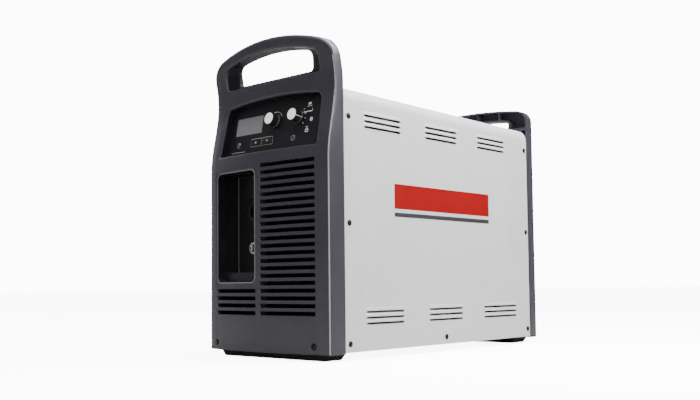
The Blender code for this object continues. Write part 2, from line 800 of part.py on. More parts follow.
def knob(frame, name, u, pointer):
    """A skirted knob on a spindle, and the white disc set in its face."""
    profile = [
        (0.0, 0.0150),
        (0.0096, 0.0150),
        (0.0100, 0.0145),
        (0.0108, 0.0040),
        (0.0125, 0.0030),
        (0.0125, 0.0008),
        (0.0032, 0.0008),
        (0.0032, -0.0120),
        (0.0, -0.0120),
    ]
    body = turned(name, profile, (u, KNOB_V, 0.0), (0, 0, 1), "black_plastic", steps=28)
    if pointer:
        ridge = box(name + "_ridge", (0.0088, -0.0009, 0.0012), (0.0122, 0.0009, 0.0147))
        ridge.location = (u, KNOB_V, 0.0)
        ridge.rotation_euler = (0.0, 0.0, math.radians(-15))
        join(body, ridge)
        on_panel(frame, ridge)
    cap_profile = [(0.0, 0.0163), (0.0086, 0.0163), (0.0092, 0.0158), (0.0092, 0.0153), (0.0, 0.0153)]
    cap = turned(name + "_cap", cap_profile, (u, KNOB_V, 0.0), (0, 0, 1), "white_plastic", steps=28)
    on_panel(frame, body, cap)


def panel_fittings(frame):
    u_low, u_high = LCD_U
    v_low, v_high = LCD_V
    lens_outline = rectangle(u_low + GAP, u_high - GAP, v_low + GAP, v_high - GAP, 0.001, 2)
    lens = plate("lcd_lens", lens_outline, -0.0018, -0.0004, "clear", plane="XY")
    module_high = (u_high + 0.0040, v_high + 0.0050, -0.0033)
    module = box("lcd_module", (u_low - 0.0040, v_low - 0.0050, -0.0100), module_high, "display")
    led_profile = [
        (0.0, 0.0012),
        (0.0014, 0.0009),
        (0.0024, 0.0),
        (0.0026, -0.0006),
        (0.0026, -0.0060),
        (0.0, -0.0060),
    ]
    led = turned("fault_led_lens", led_profile, (*LED_AT, 0.0), (0, 0, 1), "red_plastic", steps=14)
    on_panel(frame, lens, module, led)
    wide, tall = (side / 2 for side in BUTTON_SIZE)
    for name, u in zip(("select_button_left", "select_button_right"), BUTTON_U):
        button = box(name, (-wide, -tall, -0.0040), (wide, tall, 0.0012), "black_plastic", edge=0.0005)
        button.location = (u, BUTTON_V, 0.0)
        on_panel(frame, button)


def control_board():
    """The control circuit board, upright behind the panel, with its connector block."""
    board = box("control_board", (-0.1000, -0.2440, 0.3250), (0.1000, -0.2424, 0.3960), "circuit_green")
    join(board, box("control_connector", (-0.0300, -0.2430, 0.3400), (0.0200, -0.2340, 0.3560)))


# ---- Torch bay -------------------------------------------------------------------------------------------
def bay_liner():
    """A tub let into the front bezel, whose rim follows the bowed face."""
    x_low, x_high = BAY_X
    z_low, z_high = BAY_Z
    clear = 0.0004
    outline = rectangle(x_low + clear, x_high - clear, z_low + clear, z_high - clear, 0.0106)
    liner = plate("bay_liner", outline, -0.3100, BAY_BACK + BAY_WALL, "black_plastic")
    face = front_form("bay_face", 0.0010, back=-0.2000)
    modifier = liner.modifiers.new("bowed face", "BOOLEAN")
    modifier.operation = "INTERSECT"
    modifier.object = face
    inset = clear + BAY_WALL
    x_low, x_high, z_low, z_high = x_low + inset, x_high - inset, z_low + inset, z_high - inset
    mouth = plate("bay_mouth", rectangle(x_low, x_high, z_low, z_high, 0.0086), -0.3200, -0.2740)
    deep = plate("bay_deep", rectangle(x_low, x_high, BAY_LEDGE_Z, z_high, 0.003), -0.2750, BAY_BACK)
    cut(liner, mouth, deep)
    x, z = TORCH_AT
    stop = box("bay_stop", (x - 0.0070, -0.2500, z - 0.0270), (x + 0.0070, BAY_BACK + 0.0010, z - 0.0205))
    join(liner, stop)
    bm = bmesh.new()
    for (x, z), radius, segments in ((TORCH_AT, 0.0163, 32), (WORK_AT, 0.0118, 24)):
        add_cylinder(bm, (x, -0.2500, z), (x, -0.2300, z), radius, segments)
    cut(liner, finish_bmesh("bay_holes", bm, None))
    return liner


def torch_receptacle():
    """The torch's quick-disconnect socket, with a collar in front of the bay's back wall."""
    x, z = TORCH_AT
    front, collar, body, bore = 0.0120, 0.0190, 0.0160, 0.0120
    profile = [
        (0.0, -0.0100),
        (bore, -0.0100),
        (bore, front),
        (collar - 0.0015, front),
        (collar, front - 0.0015),
        (collar, 0.0003),
        (body, 0.0003),
        (body, -0.0300),
        (0.0, -0.0300),
    ]
    socket = turned("torch_receptacle", profile, (x, BAY_BACK, z), (0, -1, 0), "black_plastic", steps=32)
    notch = boxes("latch_notch", [((x - 0.0036, -0.2560, z + 0.0135), (x + 0.0036, -0.2430, z + 0.0300))])
    cut(socket, notch)
    return socket


def torch_latch():
    """The release button on top of the torch socket: pressed down, it frees the torch."""
    x, z = TORCH_AT
    latch = box("torch_latch", (-0.0070, -0.0050, 0.0), (0.0070, 0.0050, 0.0055), "black_plastic")
    stem = box("torch_latch_stem", (-0.0030, -0.0035, -0.0070), (0.0030, 0.0035, 0.0010))
    place = (x, -0.2495, z + 0.0225)
    latch.location = place
    stem.location = place
    join(latch, stem)
    return latch


def work_socket():
    """The work-lead socket: a bright metal contact in an insulating collar."""
    x, z = WORK_AT
    collar = [
        (0.0106, 0.0060),
        (0.0128, 0.0060),
        (0.0135, 0.0050),
        (0.0135, 0.0003),
        (0.0115, 0.0003),
        (0.0115, -0.0200),
        (0.0106, -0.0200),
    ]
    contact = [
        (0.0, -0.0120),
        (0.0060, -0.0120),
        (0.0060, 0.0078),
        (0.0097, 0.0078),
        (0.0103, 0.0070),
        (0.0103, -0.0180),
        (0.0, -0.0180),
    ]
    turned("work_socket_collar", collar, (x, BAY_BACK, z), (0, -1, 0), "black_plastic")
    turned("work_socket_contact", contact, (x, BAY_BACK, z), (0, -1, 0), "zinc_steel")


# ---- Rear fittings ---------------------------------------------------------------------------------------
SWITCH_AT = (0.0650, 0.1450)
GLAND_AT = (0.0600, 0.0720)
INLET_AT = (-0.0650, 0.0750)
INTERFACE_AT = (-0.0550, 0.1500)
FITTING_HOLES = ((SWITCH_AT, 0.0120), (GLAND_AT, 0.0155), (INLET_AT, 0.0085), (INTERFACE_AT, 0.0130))
PANEL_BACK = REAR_PANEL_Y + 0.0015


def power_switch():
    """A rotary isolator: a square base on the rear panel and a lever knob."""
    x, z = SWITCH_AT
    half = 0.0240
    base = plate(
        "power_switch_base",
        rectangle(x - half, x + half, z - half, z + half, 0.004, 3),
        PANEL_BACK + GAP,
        PANEL_BACK + 0.0075,
        "black_plastic",
    )
    barrel = cylinder("switch_barrel", (x, 0.2420, z), (x, PANEL_BACK + 0.002, z), 0.0117)
    join(base, barrel)
    bore = cylinder("switch_bore", (x, 0.2480, z), (x, REAR, z), 0.0045)
    cut(base, bore)
    hub = [
        (0.0, 0.0225),
        (0.0150, 0.0225),
        (0.0165, 0.0210),
        (0.0175, 0.0082),
        (0.0040, 0.0082),
        (0.0040, -0.0080),
        (0.0, -0.0080),
    ]
    handle = turned("power_switch_handle", hub, (x, PANEL_BACK, z), (0, 1, 0), "red_plastic", steps=28)
    spans = ((-0.0250, -0.0042), (0.0042, 0.0250))
    grip = boxes("switch_grip_sides", [((low, -0.0200, 0.0105), (high, 0.0200, 0.0300)) for low, high in spans])
    grip.location = (x, PANEL_BACK, z)
    grip.rotation_euler = handle.rotation_euler
    cut(handle, grip)


def cord_gland():
    """The mains cord's gland: a hexagonal nut and a domed clamp, open through the middle."""
    x, z = GLAND_AT
    profile = [
        (0.0095, 0.0230),
        (0.0125, 0.0230),
        (0.0150, 0.0180),
        (0.0155, 0.0090),
        (0.0205, 0.0085),
        (0.0205, 0.0003),
        (0.0150, 0.0003),
        (0.0150, -0.0120),
        (0.0095, -0.0120),
    ]
    return turned("cord_gland", profile, (x, PANEL_BACK, z), (0, 1, 0), "black_plastic")


def gas_inlet():
    """The gas supply fitting: a hexagonal body with a threaded nipple and a through bore."""
    x, z = INLET_AT
    profile = [
        (0.0040, 0.0260),
        (0.0062, 0.0260),
        (0.0068, 0.0250),
        (0.0068, 0.0120),
        (0.0110, 0.0118),
        (0.0110, 0.0003),
        (0.0080, 0.0003),
        (0.0080, -0.0150),
        (0.0040, -0.0150),
    ]
    return turned("gas_inlet_fitting", profile, (x, PANEL_BACK, z), (0, 1, 0), "brass")


def interface_cover():
    """The blanking cover of the machine interface port."""
    x, z = INTERFACE_AT
    cap = plate(
        "interface_port_cover",
        rectangle(x - 0.0220, x + 0.0220, z - 0.0180, z + 0.0180, 0.004, 3),
        PANEL_BACK + GAP,
        PANEL_BACK + 0.0050,
        "black_plastic",
    )
    plug = cylinder("interface_plug", (x, 0.2560, z), (x, PANEL_BACK + 0.001, z), 0.0126)
    join(cap, plug)
    return cap


# ---- Fan -------------------------------------------------------------------------------------------------
def fan_frame():
    """A square frame with a round bore, and the motor's seat on two struts across its outlet."""
    x, y, z = FAN_CENTRE
    half = FAN_SIZE / 2
    y_low, y_high = y - FAN_DEPTH / 2, y + FAN_DEPTH / 2
    outline = rectangle(x - half, x + half, z - half, z + half, 0.006, 2)
    frame = plate("fan_frame", outline, y_low, y_high, "black_plastic")
    bore = cylinder("fan_bore", (x, y_low - 0.01, z), (x, y_high + 0.01, z), FAN_BORE, segments=32)
    cut(frame, bore)
    motor = cylinder("fan_motor", (x, y_high - 0.0120, z), (x, y_high - 0.0001, z), 0.0190)
    struts = []
    for name, half_x, half_z, back in (("across", 0.0580, 0.0020, 0.0002), ("upright", 0.0020, 0.0580, 0.0003)):
        low = (x - half_x, y_high - back - 0.0048, z - half_z)
        struts.append(box(f"fan_strut_{name}", low, (x + half_x, y_high - back, z + half_z)))
    join(frame, motor, *struts)
    return frame


def fan_rotor():
    """Seven pitched blades round a hub, which turns in front of the motor's seat."""
    x, y, z = FAN_CENTRE
    bm = bmesh.new()
    add_cylinder(bm, (0, 0, -0.0085), (0, 0, 0.0150), 0.0220, 28)
    rotor = finish_bmesh("fan_rotor", bm, "black_plastic")
    rotor.location = (x, y - 0.0030, z)
    rotor.rotation_euler = Vector((0, -1, 0)).to_track_quat("Z", "Y").to_euler()
    blades = bmesh.new()
    for index in range(7):
        made = bmesh.ops.create_cube(blades, size=1.0)["verts"]
        place = (
            Matrix.Rotation(math.tau * index / 7, 4, "Z")
            @ Matrix.Translation((0.0360, 0, 0.0020))
            @ Matrix.Rotation(math.radians(38), 4, "X")
            @ Matrix.Diagonal((0.0340, 0.0240, 0.0016, 1.0))
        )
        bmesh.ops.transform(blades, matrix=place, verts=made)
    cutter = finish_bmesh("fan_blades", blades, None)
    cutter.location = rotor.location
    cutter.rotation_euler = rotor.rotation_euler
    join(rotor, cutter)
    return rotor


# ---- Electronics and gas parts ---------------------------------------------------------------------------
def heatsink():
    """A finned extrusion on the magnetics side of the centre panel."""
    x_base, x_face, x_tip = 0.0055, -0.0020, -0.0550
    z_low, z_high, fins, thick = 0.1650, 0.3550, 13, 0.0022
    pitch = (z_high - z_low - thick) / (fins - 1)
    outline = [(x_base, z_low), (x_base, z_high)]
    for index in reversed(range(fins)):
        z = z_low + pitch * index
        outline += [(x_tip, z + thick), (x_tip, z)]
        if index:
            outline += [(x_face, z), (x_face, z - pitch + thick)]
    return plate("heatsink", outline, -0.1500, 0.1300, "aluminium")


def transformer(prefix, centre, width, height, depth, leg):
    """A window-type core and the coil around its middle leg."""
    x, y, z = centre
    core_name, coil_name = prefix + "_core", prefix + "_winding"
    half_width, half_height, half_depth, half_leg = width / 2, height / 2, depth / 2, leg / 2
    outline = rectangle(x - half_width, x + half_width, z - half_height, z + half_height)
    core = plate(core_name, outline, y - half_depth, y + half_depth, "laminated_steel")
    window, window_half = half_width - leg, half_height - half_leg
    openings = []
    for side in (1, -1):
        low, high = sorted((side * half_leg, side * (half_leg + window)))
        openings.append(((x + low, y - depth, z - window_half), (x + high, y + depth, z + window_half)))
    cut(core, boxes(core_name + "_windows", openings))
    coil_x, coil_y, coil_z = half_leg + window - 0.0012, half_depth + window - 0.0020, window_half - 0.0010
    coil_outline = rectangle(x - coil_x, x + coil_x, y - coil_y, y + coil_y, 0.006, 3)
    coil = plate(coil_name, coil_outline, z - coil_z, z + coil_z, "copper", plane="XY")
    hole_x, hole_y = half_leg + GAP, half_depth + GAP
    hole = box(coil_name + "_hole", (x - hole_x, y - hole_y, z - height), (x + hole_x, y + hole_y, z + height))
    cut(coil, hole)


def power_electronics():
    """The power board with its two capacitors, and the transistor module on the heatsink's sheet."""
    box("power_board", (0.0560, -0.1700, 0.0700), (0.0578, 0.1700, 0.3600), "circuit_green")
    box("igbt_module", (0.0084, -0.0500, 0.2100), (0.0260, 0.0500, 0.2700), "black_plastic", edge=0.001)
    for name, y in (("bulk_capacitor_front", -0.0900), ("bulk_capacitor_rear", -0.0300)):
        profile = [(0.0, 0.0600), (0.0235, 0.0600), (0.0250, 0.0585), (0.0250, 0.0), (0.0, 0.0)]
        turned(name, profile, (0.0582, y, 0.1500), (1, 0, 0), "blue_sleeve")


def gas_parts():
    """The air filter and the valve, both on the floor of the case."""
    filter_profile = [
        (0.0, 0.1150),
        (0.0160, 0.1150),
        (0.0180, 0.1130),
        (0.0180, 0.0780),
        (0.0220, 0.0760),
        (0.0220, 0.0100),
        (0.0160, 0.0020),
        (0.0, 0.0),
    ]
    turned("air_filter", filter_profile, (-0.0900, 0.2000, 0.0140), (0, 0, 1), "aluminium")
    valve_low, valve_high = (-0.1200, -0.1600, BASE_FLOOR + GAP), (-0.0850, -0.1150, 0.0650)
    box("solenoid_valve", valve_low, valve_high, "brass", edge=0.002)


def hose():
    """The gas hose from the valve up to the back of the torch socket."""
    curve = bpy.data.curves.new("gas_hose_line", "CURVE")
    curve.dimensions = "3D"
    curve.bevel_depth = 0.0045
    curve.bevel_resolution = 2
    curve.use_fill_caps = True
    spline = curve.splines.new("POLY")
    start, end = Vector((-0.1025, -0.1375, 0.0655)), Vector((TORCH_AT[0], -0.2115, TORCH_AT[1]))
    points = []
    for step in range(15):
        share = step / 14
        lead = Vector((start.x, start.y, start.z + 0.1400 * share))
        tail = Vector((end.x, end.y + 0.0900 * (1 - share), end.z))
        points.append(lead.lerp(tail, smooth_step(share)))
    spline.points.add(len(points) - 1)
    for point, place in zip(spline.points, points):
        point.co = (*place, 1.0)
    drawn = bpy.data.objects.new("gas_hose_line", curve)
    CUTTERS.objects.link(drawn)
    return mesh_from_curve("gas_hose", drawn, "rubber")


# ---- Assembly --------------------------------------------------------------------------------------------
def build():
    front_bezel()
    rear_bezel()
    cover()
    base_pan()
    feet()
    centre_panel()
    rear_panel()
    frame = panel_frame()
    control_panel(frame)
    knob(frame, "adjust_knob", ADJUST_KNOB_U, pointer=False)
    knob(frame, "mode_knob", MODE_KNOB_U, pointer=True)
    panel_fittings(frame)
    control_board()
    bay_liner()
    torch_receptacle()
    torch_latch()
    work_socket()
    power_switch()
    cord_gland()
    gas_inlet()
    interface_cover()
    fan_frame()
    fan_rotor()
    heatsink()
    transformer("transformer", (-0.0660, 0.0700, 0.0665), 0.1000, 0.1050, 0.0500, 0.0260)
    transformer("inductor", (-0.0660, -0.0500, 0.0565), 0.0800, 0.0850, 0.0400, 0.0200)
    power_electronics()
    gas_parts()
    hose()
    cover_screws()
    front_screws()


build()
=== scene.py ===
"""The finished look of the plasma cutter unit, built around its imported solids.

Everything is in metres in the row's frame: +Z up, the front faces -Y, and the origin is on the floor under
the middle. Finer pieces stand for the solids whose edges and curves show, and ride on the same bodies.
"""

import json
import math

import bmesh
import bpy
from mathutils import Matrix, Vector


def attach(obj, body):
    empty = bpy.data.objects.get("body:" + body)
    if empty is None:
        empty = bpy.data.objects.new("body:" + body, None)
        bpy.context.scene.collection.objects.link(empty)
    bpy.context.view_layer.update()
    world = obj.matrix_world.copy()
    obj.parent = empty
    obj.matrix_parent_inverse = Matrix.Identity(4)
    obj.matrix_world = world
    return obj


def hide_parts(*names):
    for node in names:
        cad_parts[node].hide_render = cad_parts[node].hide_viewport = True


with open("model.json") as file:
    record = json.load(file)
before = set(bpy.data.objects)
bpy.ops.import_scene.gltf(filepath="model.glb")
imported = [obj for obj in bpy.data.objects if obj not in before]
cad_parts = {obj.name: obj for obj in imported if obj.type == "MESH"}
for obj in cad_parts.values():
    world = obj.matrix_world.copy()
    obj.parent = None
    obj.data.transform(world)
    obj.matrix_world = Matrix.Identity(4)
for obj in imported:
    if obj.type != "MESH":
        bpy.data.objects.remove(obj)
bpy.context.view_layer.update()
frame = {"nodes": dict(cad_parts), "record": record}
NODES = frame["nodes"]
PANEL_TILT = math.radians(10)
PANEL = Matrix.Translation((0.0, -0.2700, 0.3300)) @ Matrix.Rotation(math.pi / 2 - PANEL_TILT, 4, "X")
MACHINE = "machine"

# Outer form, as on the solids.
HALF = 0.137
FRONT = -0.296
REAR = 0.296
HEIGHT = 0.508
BOTTOM = 0.010
BOW = 0.0115
HANDLE_BOW = 0.0045
SHOULDER_Z = 0.305
WAIST_Z = 0.418
WAIST_DEPTH = 0.0225
LEAN = 0.0145
LEAN_SPAN = 0.100
ARCH_RADIUS = 0.370
ARCH_CORNER = 0.032
GRIP_ROUND = 0.0085
FORM_STEPS = 20
SEAM_FRONT = -0.2514
SEAM_REAR = 0.2749
COVER_HALF = 0.135
COVER_BOTTOM = 0.012
COVER_TOP_FRONT = 0.4215
COVER_TOP_REAR = 0.4140
COVER_CORNER = 0.022
COVER_CROWN = 0.0035
SHEET = 0.0015
WALL = 0.0035
GAP = 0.0003
REAR_TOP = 0.4585
REAR_ARCH_RADIUS = 0.83
REAR_CORNER = 0.024


# ---- Camera ----------------------------------------------------------------------------------------------
def add_camera():
    yaw, pitch, roll = (math.radians(angle) for angle in (42.09, 3.75, -0.60))
    forward = Vector((-math.sin(yaw) * math.cos(pitch), math.cos(yaw) * math.cos(pitch), math.sin(pitch)))
    level = Vector((math.cos(yaw), math.sin(yaw), 0.0))
    upright = level.cross(forward)
    right = math.cos(roll) * level + math.sin(roll) * upright
    up = -math.sin(roll) * level + math.cos(roll) * upright
    data = bpy.data.cameras.new("camera")
    data.sensor_width = 36.0
    data.lens = 46.84
    data.shift_y = 0.0357
    data.clip_end = 50.0
    camera = bpy.data.objects.new("camera", data)
    bpy.context.scene.collection.objects.link(camera)
    turned_to = Matrix((right, up, -forward)).transposed().to_4x4()
    camera.matrix_world = Matrix.Translation((1.057, -1.258, 0.114)) @ turned_to
    bpy.context.scene.camera = camera


# ---- Materials -------------------------------------------------------------------------------------------
class Graph:
    """Builds one material's nodes around its Principled shader."""

    def __init__(self, name):
        self.material = bpy.data.materials.new(name)
        self.material.use_nodes = True
        self.nodes = self.material.node_tree.nodes
        self.links = self.material.node_tree.links
        self.shader = self.nodes["Principled BSDF"]
        self.place = self.nodes.new("ShaderNodeTexCoord").outputs["Object"]

    def link(self, source, target):
        self.links.new(source, target)

    def noise(self, scale, detail=2.0, stretch=None, seed=0.0):
        place = self.place
        if stretch or seed:
            mapping = self.nodes.new("ShaderNodeMapping")
            mapping.inputs["Scale"].default_value = stretch or (1.0, 1.0, 1.0)
            mapping.inputs["Location"].default_value = (seed, seed * 0.7, seed * 1.3)
            self.link(place, mapping.inputs["Vector"])
            place = mapping.outputs["Vector"]
        made = self.nodes.new("ShaderNodeTexNoise")
        made.inputs["Scale"].default_value = scale
        made.inputs["Detail"].default_value = detail
        self.link(place, made.inputs["Vector"])
        return made.outputs["Fac"]

    def remap(self, value, low, high, start=0.3, end=0.7):
        made = self.nodes.new("ShaderNodeMapRange")
        made.inputs["From Min"].default_value = start
        made.inputs["From Max"].default_value = end
        made.inputs["To Min"].default_value = low
        made.inputs["To Max"].default_value = high
        self.link(value, made.inputs["Value"])
        return made.outputs["Result"]

    def math(self, operation, first, second):
        made = self.nodes.new("ShaderNodeMath")
        made.operation = operation
        for socket, value in zip(made.inputs, (first, second)):
            if isinstance(value, (int, float)):
                socket.default_value = value
            else:
                self.link(value, socket)
        return made.outputs[0]

    def mix(self, factor, first, second):
        made = self.nodes.new("ShaderNodeMix")
        made.data_type = "RGBA"
        self.link(factor, made.inputs["Factor"])
        for socket, value in ((made.inputs[6], first), (made.inputs[7], second)):
            if isinstance(value, tuple):
                socket.default_value = (*value, 1.0)
            else:
                self.link(value, socket)
        return made.outputs[2]

    def bump(self, height, strength, distance, before=None):
        made = self.nodes.new("ShaderNodeBump")
        made.inputs["Strength"].default_value = strength
        made.inputs["Distance"].default_value = distance
        self.link(height, made.inputs["Height"])
        if before:
            self.link(before, made.inputs["Normal"])
        return made.outputs["Normal"]

    def facing_up(self):
        geometry = self.nodes.new("ShaderNodeNewGeometry")
        split = self.nodes.new("ShaderNodeSeparateXYZ")
        self.link(geometry.outputs["Normal"], split.inputs[0])
        return split.outputs["Z"]


def tinted(colour, share):
    return tuple(min(channel * share, 1.0) for channel in colour)


def finish_of(name, colour, roughness, metallic=0.0, **extra):
    """A surface with colour drift, uneven gloss, fine grain and a little dust on what faces up."""
    graph = Graph(name)
    shader = graph.shader
    drift = extra.get("drift", 0.08)
    grain = extra.get("grain", 1100.0)
    stretch = extra.get("stretch")
    shader.inputs["Metallic"].default_value = metallic
    shader.inputs["Specular IOR Level"].default_value = extra.get("specular", 0.5)
    shader.inputs["Coat Weight"].default_value = extra.get("coat", 0.0)
    shader.inputs["Coat Roughness"].default_value = extra.get("coat_roughness", 0.15)
    clouds = graph.remap(graph.noise(extra.get("clouds", 14.0), 5.0), 0.0, 1.0)
    paint = graph.mix(clouds, tinted(colour, 1 - drift), tinted(colour, 1 + drift))
    speckle = graph.remap(graph.noise(grain * 0.55, 2.0, stretch, 3.1), 0.0, extra.get("speckle", 0.10))
    paint = graph.mix(speckle, paint, extra.get("speckle_colour", tinted(colour, 1.9)))
    dust = graph.math(
        "MULTIPLY", graph.remap(graph.facing_up(), 0.0, extra.get("dust", 0.10), 0.55, 1.0), clouds
    )
    paint = graph.mix(dust, paint, (0.42, 0.41, 0.40))
    graph.link(paint, shader.inputs["Base Color"])
    spread = extra.get("gloss_spread", 0.07)
    smears = graph.noise(extra.get("smears", 34.0), 6.0, stretch, 7.7)
    graph.link(graph.remap(smears, roughness - spread, roughness + spread), shader.inputs["Roughness"])
    fine = graph.bump(graph.noise(grain, 3.0, stretch), extra.get("grain_strength", 0.18), 0.00012)
    soft = graph.bump(
        graph.noise(extra.get("wave", 60.0), 2.0), extra.get("wave_strength", 0.04), 0.0006, fine
    )
    graph.link(soft, shader.inputs["Normal"])
    return graph


def make_materials():
    made = {}

    def add(slot, *values, **extra):
        made[slot] = finish_of(slot + "_finish", *values, **extra).material

    add(
        "bezel_grey",
        (0.0200, 0.0190, 0.0245),
        0.38,
        grain=1500,
        grain_strength=0.14,
        specular=0.18,
        dust=0.01,
        coat=0.22,
        coat_roughness=0.2,
    )
    # painted shade: a darker grey for the walls deep in the control recess and the handle opening
    add(
        "painted_shade_grey", (0.0045, 0.0043, 0.0056), 0.50, grain=1500, grain_strength=0.14, specular=0.12, dust=0.0
    )
    # painted shade: a near-black for the sheet behind the slats
    add(
        "painted_shade_black",
        (0.0012, 0.0012, 0.0014),
        0.60,
        grain=1800,
        grain_strength=0.30,
        specular=0.04,
        dust=0.0,
    )
    # painted highlight: a lighter grey for the rounded front corners
    add("painted_highlight_grey", (0.1500, 0.1480, 0.1560), 0.34, grain=1500)
    # painted highlight: a lighter grey for the bay liner's rim
    add("painted_rim_highlight", (0.0900, 0.0900, 0.0950), 0.38, grain=1500)
    add("black_plastic", (0.0040, 0.0040, 0.0045), 0.40, grain=1300, specular=0.35, dust=0.02)
    add("bay_black", (0.0040, 0.0040, 0.0048), 0.36, grain=1300, specular=0.30, dust=0.02)
    add(
        "panel_black",
        (0.0050, 0.0050, 0.0062),
        0.36,
        grain=2200,
        grain_strength=0.08,
        speckle=0.05,
        specular=0.30,
    )
    add(
        "knob_cap_white",
        (0.78, 0.78, 0.78),
        0.30,
        drift=0.02,
        speckle=0.04,
        speckle_colour=(0.6, 0.6, 0.6),
        grain_strength=0.05,
    )
    add("mark_white", (0.62, 0.62, 0.62), 0.45, drift=0.05, speckle_colour=(0.4, 0.4, 0.4))
    add("mark_grey", (0.30, 0.30, 0.31), 0.45, drift=0.05, speckle_colour=(0.2, 0.2, 0.2))
    add(
        "display_grey",
        (0.120, 0.122, 0.124),
        0.28,
        drift=0.06,
        speckle=0.03,
        wave_strength=0.01,
        grain_strength=0.04,
    )
    add(
        "display_clear",
        (0.120, 0.122, 0.124),
        0.18,
        drift=0.05,
        speckle=0.02,
        wave_strength=0.01,
        grain_strength=0.02,
    )
    add("indicator_red", (0.30, 0.012, 0.012), 0.25, drift=0.06, grain_strength=0.04, coat=0.4)
    add("indicator_dark", (0.030, 0.012, 0.012), 0.20, drift=0.06, grain_strength=0.04, coat=0.4)
    add(
        "cover_silver",
        (0.400, 0.400, 0.412),
        0.40,
        0.15,
        drift=0.025,
        grain=300,
        stretch=(1.0, 1.0, 0.03),
        speckle=0.28,
        speckle_colour=(0.32, 0.32, 0.335),
        grain_strength=0.10,
        dust=0.03,
        wave=9.0,
        wave_strength=0.02,
    )
    add("band_red", (0.150, 0.0008, 0.001), 0.45, drift=0.04, grain=900, speckle=0.0, specular=0.12, dust=0.0)
    add("band_dark", (0.012, 0.012, 0.013), 0.36, drift=0.05, grain=900)
    add(
        "screw_black",
        (0.0050, 0.0050, 0.0055),
        0.34,
        grain=2400,
        grain_strength=0.12,
        speckle=0.1,
        specular=0.14,
        dust=0.0,
    )
    add("zinc_steel", (0.42, 0.42, 0.43), 0.32, 0.9, drift=0.12, grain=700, stretch=(1.0, 0.08, 1.0))
    add("bright_steel", (0.62, 0.62, 0.63), 0.22, 1.0, drift=0.08, grain=1500)
    add(
        "foot_rubber",
        (0.0040, 0.0040, 0.0043),
        0.72,
        grain=1200,
        grain_strength=0.35,
        speckle=0.12,
        specular=0.2,
    )
    add("brass", (0.62, 0.43, 0.17), 0.28, 1.0, drift=0.12, grain=1600)
    # The aluminium, core steel and copper finishes are darker than the bare metals: painted shade for the dim
    # inside of the case.
    add("aluminium", (0.30, 0.31, 0.32), 0.34, 1.0, drift=0.08, grain=900, stretch=(1.0, 0.05, 1.0))
    add("core_steel", (0.040, 0.040, 0.042), 0.48, 0.8, drift=0.15, grain=1500, stretch=(0.1, 1.0, 0.1))
    add("copper", (0.16, 0.055, 0.022), 0.34, 1.0, drift=0.15, grain=700, stretch=(0.08, 0.08, 1.0))
    add("circuit_board", (0.008, 0.040, 0.018), 0.38, drift=0.20, grain=1500, speckle=0.2)
    add("capacitor_sleeve", (0.012, 0.020, 0.070), 0.30, drift=0.10, grain=1500, coat=0.2)
    return made


add_camera()
FINISH = make_materials()


# ---- Shape helpers ---------------------------------------------------------------------------------------
def new_object(name, mesh):
    made = bpy.data.objects.new(name, mesh)
    bpy.context.scene.collection.objects.link(made)
    return made


def from_bmesh(name, bm):
    bmesh.ops.recalc_face_normals(bm, faces=bm.faces)
    mesh = bpy.data.meshes.new(name)
    bm.to_mesh(mesh)
    bm.free()
    return new_object(name, mesh)


def smooth_sides(target, degrees=30):
    target.data.shade_smooth()
    target.data.set_sharp_from_angle(angle=math.radians(degrees))


def realise(target, *helpers):
    """Turns the object's modifiers into its mesh, and removes the helpers."""
    bpy.context.view_layer.update()
    evaluated = target.evaluated_get(bpy.context.evaluated_depsgraph_get())
    mesh = bpy.data.meshes.new_from_object(evaluated)
    target.modifiers.clear()
    target.data = mesh
    for helper in helpers:
        bpy.data.objects.remove(helper, do_unlink=True)
    return target


def combine(target, operation, *others):
    for other in others:
        modifier = target.modifiers.new(other.name, "BOOLEAN")
        modifier.operation = operation
        modifier.object = other
    return realise(target, *others)


def cut(target, *cutters):
    return combine(target, "DIFFERENCE", *cutters)


def join(target, *others):
    return combine(target, "UNION", *others)


def bevel(target, width, segments=3, degrees=40):
    modifier = target.modifiers.new("edge", "BEVEL")
    modifier.width = width
    modifier.segments = segments
    modifier.limit_method = "ANGLE"
    modifier.angle_limit = math.radians(degrees)
    modifier.harden_normals = False
    return realise(target)


def add_box(bm, low, high):
    low, high = Vector(low), Vector(high)
    place = Matrix.Translation((low + high) / 2) @ Matrix.Diagonal((*(high - low), 1.0))
    bmesh.ops.create_cube(bm, size=1.0, matrix=place)


def boxes(name, corners):
    bm = bmesh.new()
    for low, high in corners:
        add_box(bm, low, high)
    return from_bmesh(name, bm)


def box(name, low, high):
    return boxes(name, [(low, high)])


def add_cylinder(bm, start, end, radius, segments=32):
    start, end = Vector(start), Vector(end)
    axis = end - start
    place = Matrix.Translation((start + end) / 2) @ axis.to_track_quat("Z", "Y").to_matrix().to_4x4()
    bmesh.ops.create_cone(
        bm,
        cap_ends=True,
        segments=segments,
        radius1=radius,
        radius2=radius,
        depth=axis.length,
        matrix=place,
    )


def turned(name, profile, place, axis, steps=64, closed=False):
    """A body of revolution: (radius, height) from the top, down the outer side."""
    rotation = Vector(axis).to_track_quat("Z", "Y").to_matrix().to_4x4()
    bm = bmesh.new()
    rings = []
    for radius, height in profile:
        if radius <= 0:
            rings.append([bm.verts.new((0.0, 0.0, height))])
            continue
        angles = (math.tau * step / steps for step in range(steps))
        rings.append([bm.verts.new((radius * math.cos(a), radius * math.sin(a), height)) for a in angles])
    pairs = list(zip(rings, rings[1:]))
    if closed:
        pairs.append((rings[-1], rings[0]))
    for upper, lower in pairs:
        for step in range(steps):
            after = (step + 1) % steps
            if len(upper) == 1:
                bm.faces.new((upper[0], lower[step], lower[after]))
            elif len(lower) == 1:
                bm.faces.new((upper[step], lower[0], upper[after]))
            else:
                bm.faces.new((upper[step], lower[step], lower[after], upper[after]))
    bmesh.ops.transform(bm, matrix=Matrix.Translation(place) @ rotation, verts=bm.verts)
    made = from_bmesh(name, bm)
    smooth_sides(made, 28)
    return made


